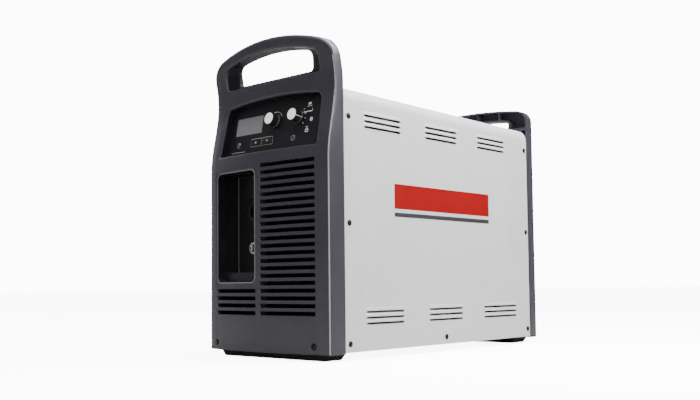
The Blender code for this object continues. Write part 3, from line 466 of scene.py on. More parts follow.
def rounded(corners, segments=6):
    """An outline from (x, y, radius) corners, each rounded by an arc."""
    outline = []
    count = len(corners)
    for index, (x, y, radius) in enumerate(corners):
        corner = Vector((x, y))
        if not radius:
            outline.append(corner)
            continue
        before = (Vector(corners[index - 1][:2]) - corner).normalized()
        after = (Vector(corners[(index + 1) % count][:2]) - corner).normalized()
        half_angle = before.angle(after) / 2
        centre = corner + (before + after).normalized() * radius / math.sin(half_angle)
        start = corner + before * radius / math.tan(half_angle) - centre
        turn = (corner + after * radius / math.tan(half_angle) - centre).angle_signed(start)
        for step in range(segments + 1):
            outline.append(centre + Matrix.Rotation(turn * step / segments, 2) @ start)
    return outline


def rectangle(x_low, x_high, z_low, z_high, radius=0.0, segments=6):
    corners = [(x_low, z_low), (x_high, z_low), (x_high, z_high), (x_low, z_high)]
    return rounded([(x, z, radius) for x, z in corners], segments)


PLANES = {
    "XZ": lambda a, b, depth: (a, depth, b),
    "YZ": lambda a, b, depth: (depth, a, b),
    "XY": lambda a, b, depth: (a, b, depth),
}


def loft(name, rings):
    """A closed body through rings of points, each with the same count."""
    bm = bmesh.new()
    loops = [[bm.verts.new(point) for point in ring] for ring in rings]
    for loop, following in zip(loops, loops[1:]):
        for index in range(len(loop)):
            after = (index + 1) % len(loop)
            bm.faces.new((loop[index], loop[after], following[after], following[index]))
    bm.faces.new(loops[0])
    bm.faces.new(loops[-1])
    return from_bmesh(name, bm)


def plate(name, outline, low, high, plane="XZ"):
    """A flat outline extruded between two places on the axis that its plane leaves out."""
    point = PLANES[plane]
    return loft(name, [[point(a, b, depth) for a, b in outline] for depth in (low, high)])


def ring_plate(name, outline, inner, low, high, plane="XZ"):
    point = PLANES[plane]
    bm = bmesh.new()
    loops = []
    for shape, depth in ((outline, low), (outline, high), (inner, high), (inner, low)):
        loops.append([bm.verts.new(point(a, b, depth)) for a, b in shape])
    for loop, following in zip(loops, loops[1:] + loops[:1]):
        for index in range(len(loop)):
            after = (index + 1) % len(loop)
            bm.faces.new((loop[index], loop[after], following[after], following[index]))
    return from_bmesh(name, bm)


def smooth_step(value):
    value = min(max(value, 0.0), 1.0)
    return value * value * (3 - 2 * value)


def show(piece, slot, *replaced, body=MACHINE, finish=None):
    """Gives a piece its finish (the slot's, unless finish is given), puts it on its body, and hides the
    solids that it stands for.
    """
    piece.data.materials.clear()
    piece.data.materials.append(FINISH[finish or slot])
    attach(piece, body)
    if replaced:
        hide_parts(*replaced)
    return piece


# ---- Outlines --------------------------------------------------------------------------------------------
def arch_columns(half, top, radius, corner, arch_steps, corner_steps):
    """(x, top z) across an arched top with a rounded corner at each end, from left to right."""
    corner_x = half - corner
    corner_z = top - radius + math.sqrt((radius - corner) ** 2 - corner_x**2)
    join_angle = math.asin(corner_x / (radius - corner))
    right = []
    for step in range(arch_steps):
        angle = join_angle * step / arch_steps
        right.append((radius * math.sin(angle), top - radius + radius * math.cos(angle)))
    for step in range(corner_steps + 1):
        angle = join_angle + (math.pi / 2 - join_angle) * step / corner_steps
        right.append((corner_x + corner * math.sin(angle), corner_z + corner * math.cos(angle)))
    left = [(-x, z) for x, z in reversed(right[1:])]
    return left + right


def front_face_y(x, z):
    waist = smooth_step((z - SHOULDER_Z) / (WAIST_Z - SHOULDER_Z))
    bow = BOW + (HANDLE_BOW - BOW) * waist
    lean = LEAN * smooth_step((z - WAIST_Z) / LEAN_SPAN)
    return FRONT + bow * (x / HALF) ** 2 + WAIST_DEPTH * waist - lean


def front_back_y(z):
    return SEAM_FRONT - 0.0130 * smooth_step((z - COVER_TOP_FRONT) / 0.090)


def front_side(inset):
    """(x, z, outward x, outward z) up the front form's right side, from its bottom corner to its apex."""
    half, bottom = HALF - inset, BOTTOM + inset
    top, radius, corner = HEIGHT - inset, ARCH_RADIUS - inset, ARCH_CORNER - inset
    columns = arch_columns(half, top, radius, corner, 12, 10)
    arch = list(reversed(columns[len(columns) // 2 :]))
    heights = [0.100, 0.200]
    heights += [SHOULDER_Z + (0.4440 - SHOULDER_Z) * step / 23 for step in range(24)]
    side = [(half, bottom, 1.0, -1.0)] + [(half, z, 1.0, 0.0) for z in heights]
    corner_x = half - corner
    corner_z = arch[0][1]
    for x, z in arch:
        centre = Vector((corner_x, corner_z)) if x > corner_x + 1e-6 else Vector((0.0, top - radius))
        outward = (Vector((x, z)) - centre).normalized()
        side.append((x, z, outward.x, outward.y))
    return side


def edge_radius(edge, z):
    """The rounding of the front's rim: small at the sides, and full along the grip."""
    if not edge:
        return 0.0
    return edge + (GRIP_ROUND - edge) * smooth_step((z - 0.4550) / 0.0350)


def form_rows(bm, side, edge, drop, depth_at):
    """Rows of points across the front form, from its bottom row up to its apex."""
    rows = []
    for x, z, out_x, out_z in side:
        pull = drop * edge_radius(edge, z)
        edge_x, row_z = x - out_x * pull, z - out_z * pull
        places = [edge_x * (2 * step / FORM_STEPS - 1) for step in range(FORM_STEPS + 1)]
        if edge_x < 1e-6:
            places = [0.0]
        rows.append([bm.verts.new((place, depth_at(place, row_z, z), row_z)) for place in places])
    return rows


def fill_rows(bm, rows):
    for row, following in zip(rows, rows[1:]):
        for index in range(FORM_STEPS):
            if len(following) == 1:
                bm.faces.new((row[index], row[index + 1], following[0]))
            else:
                bm.faces.new((row[index], row[index + 1], following[index + 1], following[index]))


def bridge_rims(bm, before, after):
    """Joins the outer points of two sets of rows."""
    first, second = (
        rows[0] + [row[-1] for row in rows[1:]] + [row[0] for row in reversed(rows[1:-1])]
        for rows in (before, after)
    )
    for index in range(len(first)):
        following = (index + 1) % len(first)
        bm.faces.new((first[index], first[following], second[following], second[index]))


def front_form(name, inset, back=None, edge=0.0):
    """The front moulding's outer form, or one inset from it, from its face to a flat or following back."""
    side = front_side(inset)
    bm = bmesh.new()

    def rounding(angle):
        """The rim's rows at an angle of its rounding: 90 degrees at the face, 0 at the side walls."""
        drop, sunk = 1 - math.cos(math.radians(angle)), 1 - math.sin(math.radians(angle))

        def depth(x, z, height):
            return front_face_y(x, z) + inset + sunk * edge_radius(edge, height)

        return form_rows(bm, side, edge, drop, depth)

    before = rounding(90)
    fill_rows(bm, before)
    for angle in (72, 54, 36, 18, 0) if edge else ():
        rows = rounding(angle)
        bridge_rims(bm, before, rows)
        before = rows
    rear = form_rows(bm, side, edge, 0.0, lambda x, z, height: front_back_y(z) if back is None else back)
    bridge_rims(bm, before, rear)
    fill_rows(bm, rear)
    unused = [vert for vert in bm.verts if not vert.link_faces]
    bmesh.ops.delete(bm, geom=unused, context="VERTS")
    bmesh.ops.triangulate(bm, faces=[face for face in bm.faces if len(face.verts) > 3])
    return from_bmesh(name, bm)


def cover_section(y, inset, steps=12):
    share = (y - SEAM_FRONT) / (SEAM_REAR - SEAM_FRONT)
    half, corner = COVER_HALF - inset, COVER_CORNER - inset
    top = COVER_TOP_FRONT + (COVER_TOP_REAR - COVER_TOP_FRONT) * share - inset
    shoulder_x = half - corner
    shoulder_z = top - COVER_CROWN - corner
    right = [(shoulder_x * part, top - COVER_CROWN * part**2) for part in (0.0, 0.2, 0.4, 0.6, 0.8)]
    for step in range(steps + 1):
        angle = math.pi / 2 * step / steps
        right.append((shoulder_x + corner * math.sin(angle), shoulder_z + corner * math.cos(angle)))
    right.append((half, COVER_BOTTOM))
    return [(-x, z) for x, z in reversed(right[1:])] + right


def flange(name, y_low, y_high, bottom):
    y_mid = (y_low + y_high) / 2
    outer = [(x, max(z, bottom)) for x, z in cover_section(y_mid, SHEET + 2 * GAP)]
    inner = [(x, max(z, bottom + WALL)) for x, z in cover_section(y_mid, SHEET + 2 * GAP + WALL)]
    return ring_plate(name, outer, inner, y_low, y_high)


def arched_opening(half, bottom, top, corner, arch, foot, spread=0.0, pieces=1):
    """An opening with an arched top; its foot is wider by spread, and divided into pieces."""
    upper = arch_columns(half, top, arch, corner, 8, 8)
    low = half + spread
    along = [(low * (2 * step / pieces - 1), bottom, 0.0) for step in range(1, pieces)]
    sides = [
        (-half, top - corner, 0.0),
        (-low, bottom, foot),
        *along,
        (low, bottom, foot),
        (half, top - corner, 0.0),
    ]
    return rounded(sides, 5)[1:-1] + list(reversed(upper))


def recess_outline(margin=0.0):
    half = 0.1085 + margin
    return arched_opening(
        half, 0.3262 - margin * 0.4, 0.4140 + margin, 0.011 + margin, 0.790, 0.002 + margin, 0.0035, 16
    )


def rounded_mouth(name, outline_at, edge, back):
    """A cutter with outline_at(margin) for its outline; its mouth is rounded where it meets the face."""
    rings = [[(x, FRONT - 0.0200, z) for x, z in outline_at(edge)]]
    for angle in (0, 22.5, 45, 67.5, 90):
        share = 1 - math.sin(math.radians(angle))
        sunk = edge * (1 - math.cos(math.radians(angle)))
        rings.append([(x, front_face_y(x, z) + sunk, z) for x, z in outline_at(edge * share)])
    rings.append([(x, back, z) for x, z in outline_at(0.0)])
    return loft(name, rings)


def divided(x_low, x_high, z_low, z_high, radius, margin, pieces, segments=5):
    """A rounded rectangle grown by margin, whose long sides are divided so that they can follow the bow."""
    x_low, x_high, z_low, z_high = x_low - margin, x_high + margin, z_low - margin, z_high + margin
    radius += margin
    shares = [step / pieces for step in range(1, pieces)]
    corners = [(x_low, z_low, radius)]
    corners += [(x_low + (x_high - x_low) * share, z_low, 0.0) for share in shares]
    corners += [(x_high, z_low, radius), (x_high, z_high, radius)]
    corners += [(x_high - (x_high - x_low) * share, z_high, 0.0) for share in shares]
    corners += [(x_low, z_high, radius)]
    return rounded(corners, segments)


# ---- Front moulding --------------------------------------------------------------------------------------
SLOT_BLOCKS = ((-0.0030, 0.1100, 21), (-0.1150, -0.0140, 4))
SLOT_FIRST_Z = 0.0709
SLOT_PITCH = 0.0116
SLOT_HALF = 0.0030
BAY = (-0.1165, -0.0140, 0.1175, 0.3000)
FRONT_SCREWS = ((-0.1160, 0.0225), (0.1070, 0.0225))
COVER_SCREWS = (
    (-0.2385, 0.3710),
    (-0.2385, 0.2075),
    (-0.2385, 0.0250),
    (0.2660, 0.3690),
    (0.2660, 0.2110),
    (0.2660, 0.0270),
    (0.0049, 0.0245),
)


def finger_opening():
    """The handle's opening: a rounded mouth that follows the face, and a throat with a rounded way out."""
    mouth, throat, edge, flare = (0.1080, 0.4395, 0.4880), (0.0850, 0.4445, 0.4865), 0.0030, 0.0014

    def ring(size, grown, depth_at):
        half, low, high = size
        shape = arched_opening(
            half + grown, low - grown, high + grown, 0.016 + grown, ARCH_RADIUS, 0.006 + grown, 0.0, 10
        )
        return [(x, depth_at(x, z), z) for x, z in shape]

    rings = [ring(mouth, edge, lambda x, z: FRONT - 0.0200)]
    for angle in (0, 22.5, 45, 67.5, 90):
        turn = math.radians(angle)
        sunk = edge * (1 - math.cos(turn))
        rings.append(
            ring(mouth, edge * (1 - math.sin(turn)), lambda x, z, sunk=sunk: front_face_y(x, z) + sunk)
        )
    for step in range(1, 8):
        share = step / 7
        eased = smooth_step(share)
        size = [a + (b - a) * eased for a, b in zip(mouth, throat)]

        def depth(x, z, share=share):
            start = front_face_y(x, z) + edge
            return start + (-0.2635 - start) * share

        rings.append(ring(size, 0.0, depth))
    for angle in (0, 30, 60, 90):
        turn = math.radians(angle)
        sunk = flare * (1 - math.sin(turn))
        rings.append(
            ring(throat, flare * (1 - math.cos(turn)), lambda x, z, sunk=sunk: front_back_y(z) - sunk)
        )
    rings.append(ring(throat, flare, lambda x, z: -0.2100))
    return loft("finger_opening", rings)


def cover_screw_holes(name, y_low, y_high):
    bm = bmesh.new()
    for side in (1, -1):
        for y, z in COVER_SCREWS:
            if y_low < y < y_high:
                add_cylinder(bm, (side * 0.122, y, z), (side * 0.140, y, z), 0.0025, 16)
    return from_bmesh(name, bm)


def front_cavity():
    cavity = front_form("front_cavity", WALL, back=-0.2200)
    blocks = []
    for (x_low, x_high, count), past in zip(SLOT_BLOCKS, (0.0050, 0.0040)):
        top = SLOT_FIRST_Z + SLOT_PITCH * (count - 1) + 0.0088
        blocks.append(((x_low - 0.0045, -0.3100, 0.0620), (x_high + past, -0.2800, top)))
    return cut(
        cavity,
        plate("recess_tub", recess_outline(0.0025), -0.3100, -0.2100),
        box("handle_block", (-0.15, -0.3100, 0.4150), (0.15, -0.2100, 0.5200)),
        boxes("slat_blocks", blocks),
    )


def front_slots():
    cutters = []
    for x_low, x_high, count in SLOT_BLOCKS:
        for index in range(count):
            z = SLOT_FIRST_Z + SLOT_PITCH * index

            def outline(margin, z=z, x_low=x_low, x_high=x_high):
                return divided(x_low, x_high, z - SLOT_HALF, z + SLOT_HALF, 0.0010, margin, 10, 2)

            rings = [[(x, FRONT - 0.0200, height) for x, height in outline(0.0006)]]
            rings.append([(x, front_face_y(x, height), height) for x, height in outline(0.0006)])
            rings.append([(x, front_face_y(x, height) + 0.0008, height) for x, height in outline(0.0)])
            rings.append([(x, -0.2700, height) for x, height in outline(0.0)])
            cutters.append(loft(f"slot_cutter_{x_low:+.3f}_{index}", rings))
    bm = bmesh.new()
    for cutter in cutters:
        bm.from_mesh(cutter.data)
        bpy.data.objects.remove(cutter, do_unlink=True)
    return from_bmesh("front_slots", bm)


def front_moulding():
    body = front_form("front_moulding", 0.0, edge=0.0034)
    cut(body, front_cavity())
    join(body, flange("front_flange", -0.2600, -0.2280, 0.0125))
    bm = bmesh.new()
    for x, z in FRONT_SCREWS:
        face = front_face_y(x, z)
        add_cylinder(bm, (x, face + 0.0010, z), (x, -0.2700, z), 0.0026, 24)
        add_cylinder(bm, (x, FRONT - 0.0200, z), (x, face + 0.0018, z), 0.0052, 40)
    cut(
        body,
        rounded_mouth("recess_opening", recess_outline, 0.0045, -0.2100),
        finger_opening(),
        rounded_mouth("bay_opening", lambda margin: divided(*BAY, 0.011, margin, 6), 0.0008, -0.2200),
        front_slots(),
        from_bmesh("front_screw_holes", bm),
        cover_screw_holes("front_flange_holes", -0.2600, -0.2280),
    )
    smooth_sides(body, 32)
    show(body, "bezel_grey", "front_bezel")
    body.data.materials.append(FINISH["painted_highlight_grey"])
    body.data.materials.append(FINISH["painted_shade_grey"])
    for face in body.data.polygons:
        x, y, z = face.center
        # painted highlight: the faces of the rounded front corners get a lighter grey
        corner = abs(x) > HALF - 0.0034 and z < 0.4550
        if corner and 0.50 < abs(face.normal.x) < 0.87 and face.normal.y < -0.40:
            face.material_index = 1
        # painted shade: the walls deep in the control recess and the handle opening get a darker grey
        inside = abs(x) < 0.1130 and (0.3300 < z < 0.4170 or 0.4400 < z < 0.4890)
        if inside and front_face_y(x, z) + 0.0042 < y < front_back_y(z) - 0.0010:
            face.material_index = 2


def painted_shade_screen():
    """A thin dark sheet behind the slats, clear of the torch bay: painted shade for the dark inside seen
    through the slats.
    """
    corners = [(-0.1320, 0.0640), (0.1320, 0.0640), (0.1320, 0.3180), (-0.0115, 0.3180), (-0.0115, 0.1120)]
    corners += [(-0.1320, 0.1120)]
    screen = plate("painted_shade_screen", [Vector(corner) for corner in corners], -0.2720, -0.2708)
    show(screen, "black_plastic", finish="painted_shade_black")


# ---- Rear moulding ---------------------------------------------------------------------------------------
REAR_OPENING = (0.0960, 0.4165, 0.4370)
REAR_WINDOW = (-0.1120, 0.1120, 0.0300, 0.2000)


def rear_outline(inset):
    columns = arch_columns(
        HALF - inset, REAR_TOP - inset, REAR_ARCH_RADIUS - inset, REAR_CORNER - inset, 10, 10
    )
    bottom = BOTTOM + inset
    return [(-HALF + inset, bottom), (HALF - inset, bottom), *reversed(columns)]


def edged_plate(name, outline_at, low, high, edge, segments=5):
    """A plate whose far edge is rounded: outline_at(inset) gives its outline."""
    rings = [[(x, low, z) for x, z in outline_at(0.0)]]
    for step in range(segments + 1):
        angle = math.radians(90 * step / segments)
        inset, depth = edge * (1 - math.cos(angle)), high - edge + edge * math.sin(angle)
        rings.append([(x, depth, z) for x, z in outline_at(inset)])
    return loft(name, rings)


def rear_opening(margin, radius):
    half, low, high = REAR_OPENING
    return arched_opening(half + margin, low - margin, high + margin, radius, REAR_ARCH_RADIUS, 0.006)


def rear_moulding():
    body = edged_plate("rear_moulding", rear_outline, SEAM_REAR, REAR, 0.0030)
    low, high = REAR_OPENING[1:]
    x_low, x_high, z_low, z_high = REAR_WINDOW
    cavity = plate("rear_cavity", rear_outline(WALL), 0.2600, REAR - WALL)
    ribs = [
        ((x - 0.0010, 0.2500, high + 0.0005), (x + 0.0010, 0.3000, 0.4700))
        for x in (-0.075, -0.025, 0.025, 0.075)
    ]
    cut(
        cavity,
        plate("rear_opening_walls", rear_opening(WALL, 0.0115), 0.2500, 0.3000),
        box("rear_sill", (-HALF - 0.01, 0.2500, low - 0.0065), (HALF + 0.01, 0.3000, low)),
        box("window_walls", (x_low - WALL, 0.2500, z_low - WALL), (x_high + WALL, 0.3000, z_high + WALL)),
        boxes("rear_ribs", ribs),
    )
    cut(body, cavity)
    pocket = box("pocket_walls", (x_low - WALL, 0.2640, z_low - WALL), (x_high + WALL, 0.2800, z_high + WALL))
    join(body, flange("rear_flange", 0.2560, 0.2800, 0.0125), pocket)
    slots = bmesh.new()
    for index in range(14):
        z = 0.2250 + 0.0125 * index
        cutter = plate(
            "slot", rectangle(-0.1020, 0.1020, z - 0.0030, z + 0.0030, 0.0012, 3), 0.2850, REAR + 0.01
        )
        slots.from_mesh(cutter.data)
        bpy.data.objects.remove(cutter, do_unlink=True)
    cut(
        body,
        plate("rear_opening", rear_opening(0.0, 0.008), 0.2400, REAR + 0.01),
        plate("rear_window", rectangle(*REAR_WINDOW, 0.006), 0.2400, REAR + 0.01),
        from_bmesh("rear_slots", slots),
        cover_screw_holes("rear_flange_holes", 0.2560, 0.2800),
    )
    smooth_sides(body, 32)
    show(body, "bezel_grey", "rear_bezel")


# ---- Cover -----------------------------------------------------------------------------------------------
LOUVRE_PITCH = 0.0089
LOUVRE_GROUPS = (
    (0.3780, ((-0.2044, -0.1106), (-0.0493, 0.0456), (0.1042, 0.1967))),
    (0.0735, ((-0.2027, -0.1073), (-0.0436, 0.0555), (0.1175, 0.2297))),
)


def louvre_places():
    for first, groups in LOUVRE_GROUPS:
        for y_low, y_high in groups:
            for row in range(3):
                yield y_low, y_high, first - LOUVRE_PITCH * row


def louvre_hood(bm, side, y_low, y_high, z):
    """A pressed hood: fullest at its open lower edge, and blended into the sheet above and at both ends."""
    sunk, proud, rise, ends = COVER_HALF - 0.0008, 0.0018, 0.0054, 0.0050
    stations = 6
    rows = []
    for station in range(stations * 2 + 1):
        if station <= stations:
            share = station / stations
            y = y_low + ends * share
        else:
            share = (stations * 2 - station) / stations
            y = y_high - ends * share
        height = math.sin(math.pi / 2 * share)
        section = [(sunk, z)]
        for step in range(6):
            part = step / 5
            lift = math.cos(math.pi / 2 * part) * height * proud
            section.append((COVER_HALF + 0.00005 + lift, z + rise * math.sin(math.pi / 2 * part)))
        section.append((sunk, z + rise))
        rows.append([bm.verts.new((side * x, y, height_z)) for x, height_z in section])
    for row, following in zip(rows, rows[1:]):
        for index in range(len(row)):
            after = (index + 1) % len(row)
            bm.faces.new((row[index], row[after], following[after], following[index]))
    bm.faces.new(rows[0])
    bm.faces.new(rows[-1])


def cover():
    stations = [SEAM_FRONT + GAP, SEAM_REAR - GAP]
    bm = bmesh.new()
    outer = [[bm.verts.new((x, y, z)) for x, z in cover_section(y, 0.0)] for y in stations]
    inner = [[bm.verts.new((x, y, z)) for x, z in cover_section(y, SHEET)] for y in stations]
    for index in range(len(outer[0]) - 1):
        bm.faces.new((outer[0][index], outer[0][index + 1], outer[1][index + 1], outer[1][index]))
        bm.faces.new((inner[0][index], inner[1][index], inner[1][index + 1], inner[0][index + 1]))
        for end in (0, 1):
            bm.faces.new((outer[end][index], outer[end][index + 1], inner[end][index + 1], inner[end][index]))
    for edge in (0, -1):
        bm.faces.new((outer[0][edge], outer[1][edge], inner[1][edge], inner[0][edge]))
    sheet = from_bmesh("louvred_cover", bm)
    hoods, gaps, holes = bmesh.new(), [], bmesh.new()
    for side in (1, -1):
        for y_low, y_high, z in louvre_places():
            louvre_hood(hoods, side, y_low, y_high, z)
            xs = sorted((side * (COVER_HALF - 0.006), side * (COVER_HALF + 0.0008)))
            gaps.append(((xs[0], y_low + 0.0030, z - 0.0032), (xs[1], y_high - 0.0030, z + 0.0010)))
        for y, z in COVER_SCREWS:
            add_cylinder(holes, (side * 0.128, y, z), (side * 0.140, y, z), 0.0023, 16)
    join(sheet, from_bmesh("louvre_hoods", hoods))
    cut(sheet, boxes("louvre_gaps", gaps), from_bmesh("cover_screw_holes", holes))
    smooth_sides(sheet, 25)
    show(sheet, "cover_silver", "cover")


def side_bands():
    """A plain two-colour band on each side."""
    for side, label in ((1, "right"), (-1, "left")):
        low, high = sorted((side * (COVER_HALF - 0.0001), side * (COVER_HALF + 0.00018)))
        red = plate(f"band_red_{label}", rectangle(-0.1300, 0.1400, 0.2350, 0.2750, 0.0015), low, high, "YZ")
        dark = plate(
            f"band_dark_{label}", rectangle(-0.1300, 0.1400, 0.2220, 0.2290, 0.0010), low, high, "YZ"
        )
        show(red, "cover_silver", finish="band_red")
        show(dark, "cover_silver", finish="band_dark")


# ---- Screws ----------------------------------------------------------------------------------------------
def screw(name, seat, inward, node):
    """A button-head screw with a hexagon socket."""
    profile = [(0.0, 0.0019), (0.0020, 0.0018), (0.0034, 0.0014), (0.0044, 0.0008), (0.0047, 0.0004)]
    profile += [(0.0045, 0.0002), (0.0018, 0.0002), (0.0018, -0.0070), (0.0, -0.0078)]
    outward = -Vector(inward)
    made = turned(name, profile, seat, outward, 32)
    bm = bmesh.new()
    start = Vector(seat) + outward * 0.0007
    add_cylinder(bm, start, Vector(seat) + outward * 0.0030, 0.0014, 6)
    cut(made, from_bmesh(name + "_socket", bm))
    smooth_sides(made, 28)
    show(made, "screw_black", node)


def screws():
    for side, label in ((1, "right"), (-1, "left")):
        for index, (y, z) in enumerate(COVER_SCREWS, 1):
            node = f"cover_screw_{label}_{index}"
            screw(f"side_screw_{label}_{index}", (side * COVER_HALF, y, z), (-side, 0, 0), node)
    for (x, z), label in zip(FRONT_SCREWS, ("left", "right")):
        screw(f"face_screw_{label}", (x, front_face_y(x, z) + 0.0018, z), (0, 1, 0), f"front_screw_{label}")


# ---- Torch bay -------------------------------------------------------------------------------------------
BAY_BACK = -0.2420
TORCH_AT = (-0.0600, 0.2360)
WORK_AT = (-0.0700, 0.1757)


def bay_tub():
    x_low, x_high, z_low, z_high = BAY
    clear, wall = 0.0004, 0.0020
    outline = rectangle(x_low + clear, x_high - clear, z_low + clear, z_high - clear, 0.0106, 8)
    tub = plate("bay_tub", outline, -0.3100, BAY_BACK + 0.0020)
    combine(tub, "INTERSECT", front_form("bay_face", 0.0006, back=-0.2000))
    inside = clear + wall
    deep = box("bay_deep", (x_low + inside, -0.2800, 0.1350), (x_high - inside, BAY_BACK, z_high - inside))
    bevel(deep, 0.0030, 4)

    def mouth(margin):
        return divided(x_low + inside, x_high - inside, z_low + inside, z_high - inside, 0.0086, margin, 6)

    cut(tub, rounded_mouth("bay_mouth", mouth, 0.0008, -0.2740), deep)
    bm = bmesh.new()
    for (x, z), radius in ((TORCH_AT, 0.0163), (WORK_AT, 0.0118)):
        add_cylinder(bm, (x, -0.25, z), (x, -0.23, z), radius, 64)
    x, z = TORCH_AT
    join(tub, box("bay_stop", (x - 0.0070, -0.2500, z - 0.0270), (x + 0.0070, BAY_BACK + 0.001, z - 0.0205)))
    cut(tub, from_bmesh("bay_holes", bm))
    smooth_sides(tub, 32)
    show(tub, "black_plastic", "bay_liner", finish="bay_black")
    tub.data.materials.append(FINISH["painted_rim_highlight"])
    # painted highlight: the faces at the rim get a lighter grey
    for face in tub.data.polygons:
        middle = face.center
        if middle.y < front_face_y(middle.x, middle.z) + 0.0022:
            face.material_index = 1


def sockets():
    x, z = TORCH_AT
    profile = [
        (0.0, -0.0100),
        (0.0120, -0.0100),
        (0.0120, 0.0105),
        (0.0128, 0.0120),
        (0.0176, 0.0120),
        (0.0185, 0.0117),
    ]
    profile += [(0.0190, 0.0108), (0.0190, 0.0070), (0.0183, 0.0062), (0.0190, 0.0054), (0.0190, 0.0003)]
    profile += [(0.0160, 0.0003), (0.0160, -0.0300), (0.0, -0.0300)]
    torch = turned("torch_socket", profile, (x, BAY_BACK, z), (0, -1, 0), 72)
    cut(torch, box("latch_notch", (x - 0.0036, -0.2560, z + 0.0135), (x + 0.0036, -0.2430, z + 0.0300)))
    smooth_sides(torch, 28)
    show(torch, "black_plastic", "torch_receptacle", finish="bay_black")
    x, z = WORK_AT
    collar = [(0.0106, 0.0060), (0.0126, 0.0060), (0.0133, 0.0056), (0.0135, 0.0048), (0.0135, 0.0003)]
    collar += [(0.0115, 0.0003), (0.0115, -0.0200), (0.0106, -0.0200)]
    show(
        turned("socket_collar", collar, (x, BAY_BACK, z), (0, -1, 0), 64, closed=True),
        "black_plastic",
        "work_socket_collar",
    )
    contact = [(0.0, -0.0120), (0.0058, -0.0120), (0.0060, 0.0066), (0.0066, 0.0078), (0.0096, 0.0078)]
    contact += [(0.0103, 0.0070), (0.0103, -0.0180), (0.0, -0.0180)]
    metal = turned("socket_contact", contact, (x, BAY_BACK, z), (0, -1, 0), 64)
    show(metal, "zinc_steel", "work_socket_contact", finish="bright_steel")


def latch():
    x, z = TORCH_AT
    cap = box("release_button", (x - 0.0070, -0.2545, z + 0.0225), (x + 0.0070, -0.2445, z + 0.0280))
    bevel(cap, 0.0012, 4)
    grooves = [
        ((x - 0.0045, -0.2535 + i * 0.0024, z + 0.0274), (x + 0.0045, -0.2523 + i * 0.0024, z + 0.0290))
        for i in range(4)
    ]
    cut(cap, boxes("release_button_grooves", grooves))
    join(cap, box("release_stem", (x - 0.0030, -0.2530, z + 0.0155), (x + 0.0030, -0.2460, z + 0.0235)))
    smooth_sides(cap, 32)
    show(cap, "black_plastic", "torch_latch", body="torch_latch_body")


# ---- Control panel ---------------------------------------------------------------------------------------
KNOB_V = 0.0482
KNOBS = (("adjust_knob", -0.0015), ("mode_knob", 0.0507))
BUTTON_V = 0.0170
LCD = (-0.0955, -0.0320, 0.0325, 0.0630)
LED_AT = (0.0437, 0.0149)


def to_panel(piece):
    piece.data.transform(PANEL)
    piece.data.update()
    return piece


def knob_parts(name, u, pointer):
    profile = [
        (0.0, 0.0150),
        (0.0094, 0.0150),
        (0.0099, 0.0147),
        (0.0101, 0.0142),
        (0.0107, 0.0050),
        (0.0112, 0.0040),
    ]
    profile += [
        (0.0120, 0.0034),
        (0.0125, 0.0026),
        (0.0125, 0.0008),
        (0.0032, 0.0008),
        (0.0032, -0.0120),
        (0.0, -0.0120),
    ]
    body = turned(name + "_grip", profile, (u, KNOB_V, 0.0), (0, 0, 1), 72)
    flutes = bmesh.new()
    for step in range(18):
        angle = math.tau * (step + 0.5) / 18
        x, y = u + 0.0116 * math.cos(angle), KNOB_V + 0.0116 * math.sin(angle)
        add_cylinder(flutes, (x, y, 0.0058), (x, y, 0.0160), 0.0013, 12)
    cut(body, from_bmesh(name + "_flutes", flutes))
    if pointer:
        ridge = box(name + "_ridge", (0.0088, -0.0009, 0.0012), (0.0122, 0.0009, 0.0145))
        ridge.data.transform(
            Matrix.Translation((u, KNOB_V, 0.0)) @ Matrix.Rotation(math.radians(-15), 4, "Z")
        )
        join(body, ridge)
    smooth_sides(body, 28)
    cap_profile = [
        (0.0, 0.0163), (0.0080, 0.0163), (0.0089, 0.0161), (0.0092, 0.0157), (0.0092, 0.0153), (0.0, 0.0153)
    ]
    cap = turned(name + "_disc", cap_profile, (u, KNOB_V, 0.0), (0, 0, 1), 64)
    show(to_panel(body), "black_plastic", name, body=name + "_body")
    show(to_panel(cap), "knob_cap_white", name + "_cap", body=name + "_body")
    if pointer:
        line = box(name + "_line", (0.0093, -0.0006, 0.0146), (0.0121, 0.0006, 0.01475))
        flank = box(name + "_line_flank", (0.0120, -0.0006, 0.0030), (0.01235, 0.0006, 0.0147))
        join(line, flank)
        line.data.transform(Matrix.Translation((u, KNOB_V, 0.0)) @ Matrix.Rotation(math.radians(-15), 4, "Z"))
        show(to_panel(line), "knob_cap_white", body=name + "_body", finish="mark_white")


def stroke(name, points, width, finish="mark_white", closed=False):
    """A printed line through (u, v) points on the panel."""
    bm = bmesh.new()
    low, high = -0.0001, 0.00012
    count = len(points)
    sides = ([], [])
    for index, point in enumerate(points):
        here = Vector(point)
        before = Vector(points[index - 1]) if index or closed else here
        after = Vector(points[(index + 1) % count]) if index < count - 1 or closed else here
        along = (after - before).normalized()
        if before != here and after != here:
            first, second = (here - before).normalized(), (after - here).normalized()
            reach = width / 2 / max(math.cos(first.angle(second) / 2), 0.5)
        else:
            reach = width / 2
        across = Vector((-along.y, along.x)) * reach
        for side, offset in zip(sides, (across, -across)):
            side.append(here + offset)
    spans = count if closed else count - 1
    rings = []
    for index in range(count):
        left, right = sides[0][index], sides[1][index]
        corners = ((left, low), (left, high), (right, high), (right, low))
        rings.append([bm.verts.new((place.x, place.y, depth)) for place, depth in corners])
    for index in range(spans):
        ring, following = rings[index], rings[(index + 1) % count]
        for corner in range(4):
            after = (corner + 1) % 4
            bm.faces.new((ring[corner], ring[after], following[after], following[corner]))
    if not closed:
        bm.faces.new(rings[0])
        bm.faces.new(rings[-1])
    return show(to_panel(from_bmesh(name, bm)), "knob_cap_white", finish=finish)


def patch(name, outline, finish="mark_white"):
    return show(to_panel(plate(name, outline, -0.0001, 0.00012, "XY")), "knob_cap_white", finish=finish)


def arc(u, v, radius, start, end, steps=24):
    angles = (math.radians(start + (end - start) * step / steps) for step in range(steps + 1))
    return [(u + radius * math.cos(a), v + radius * math.sin(a)) for a in angles]


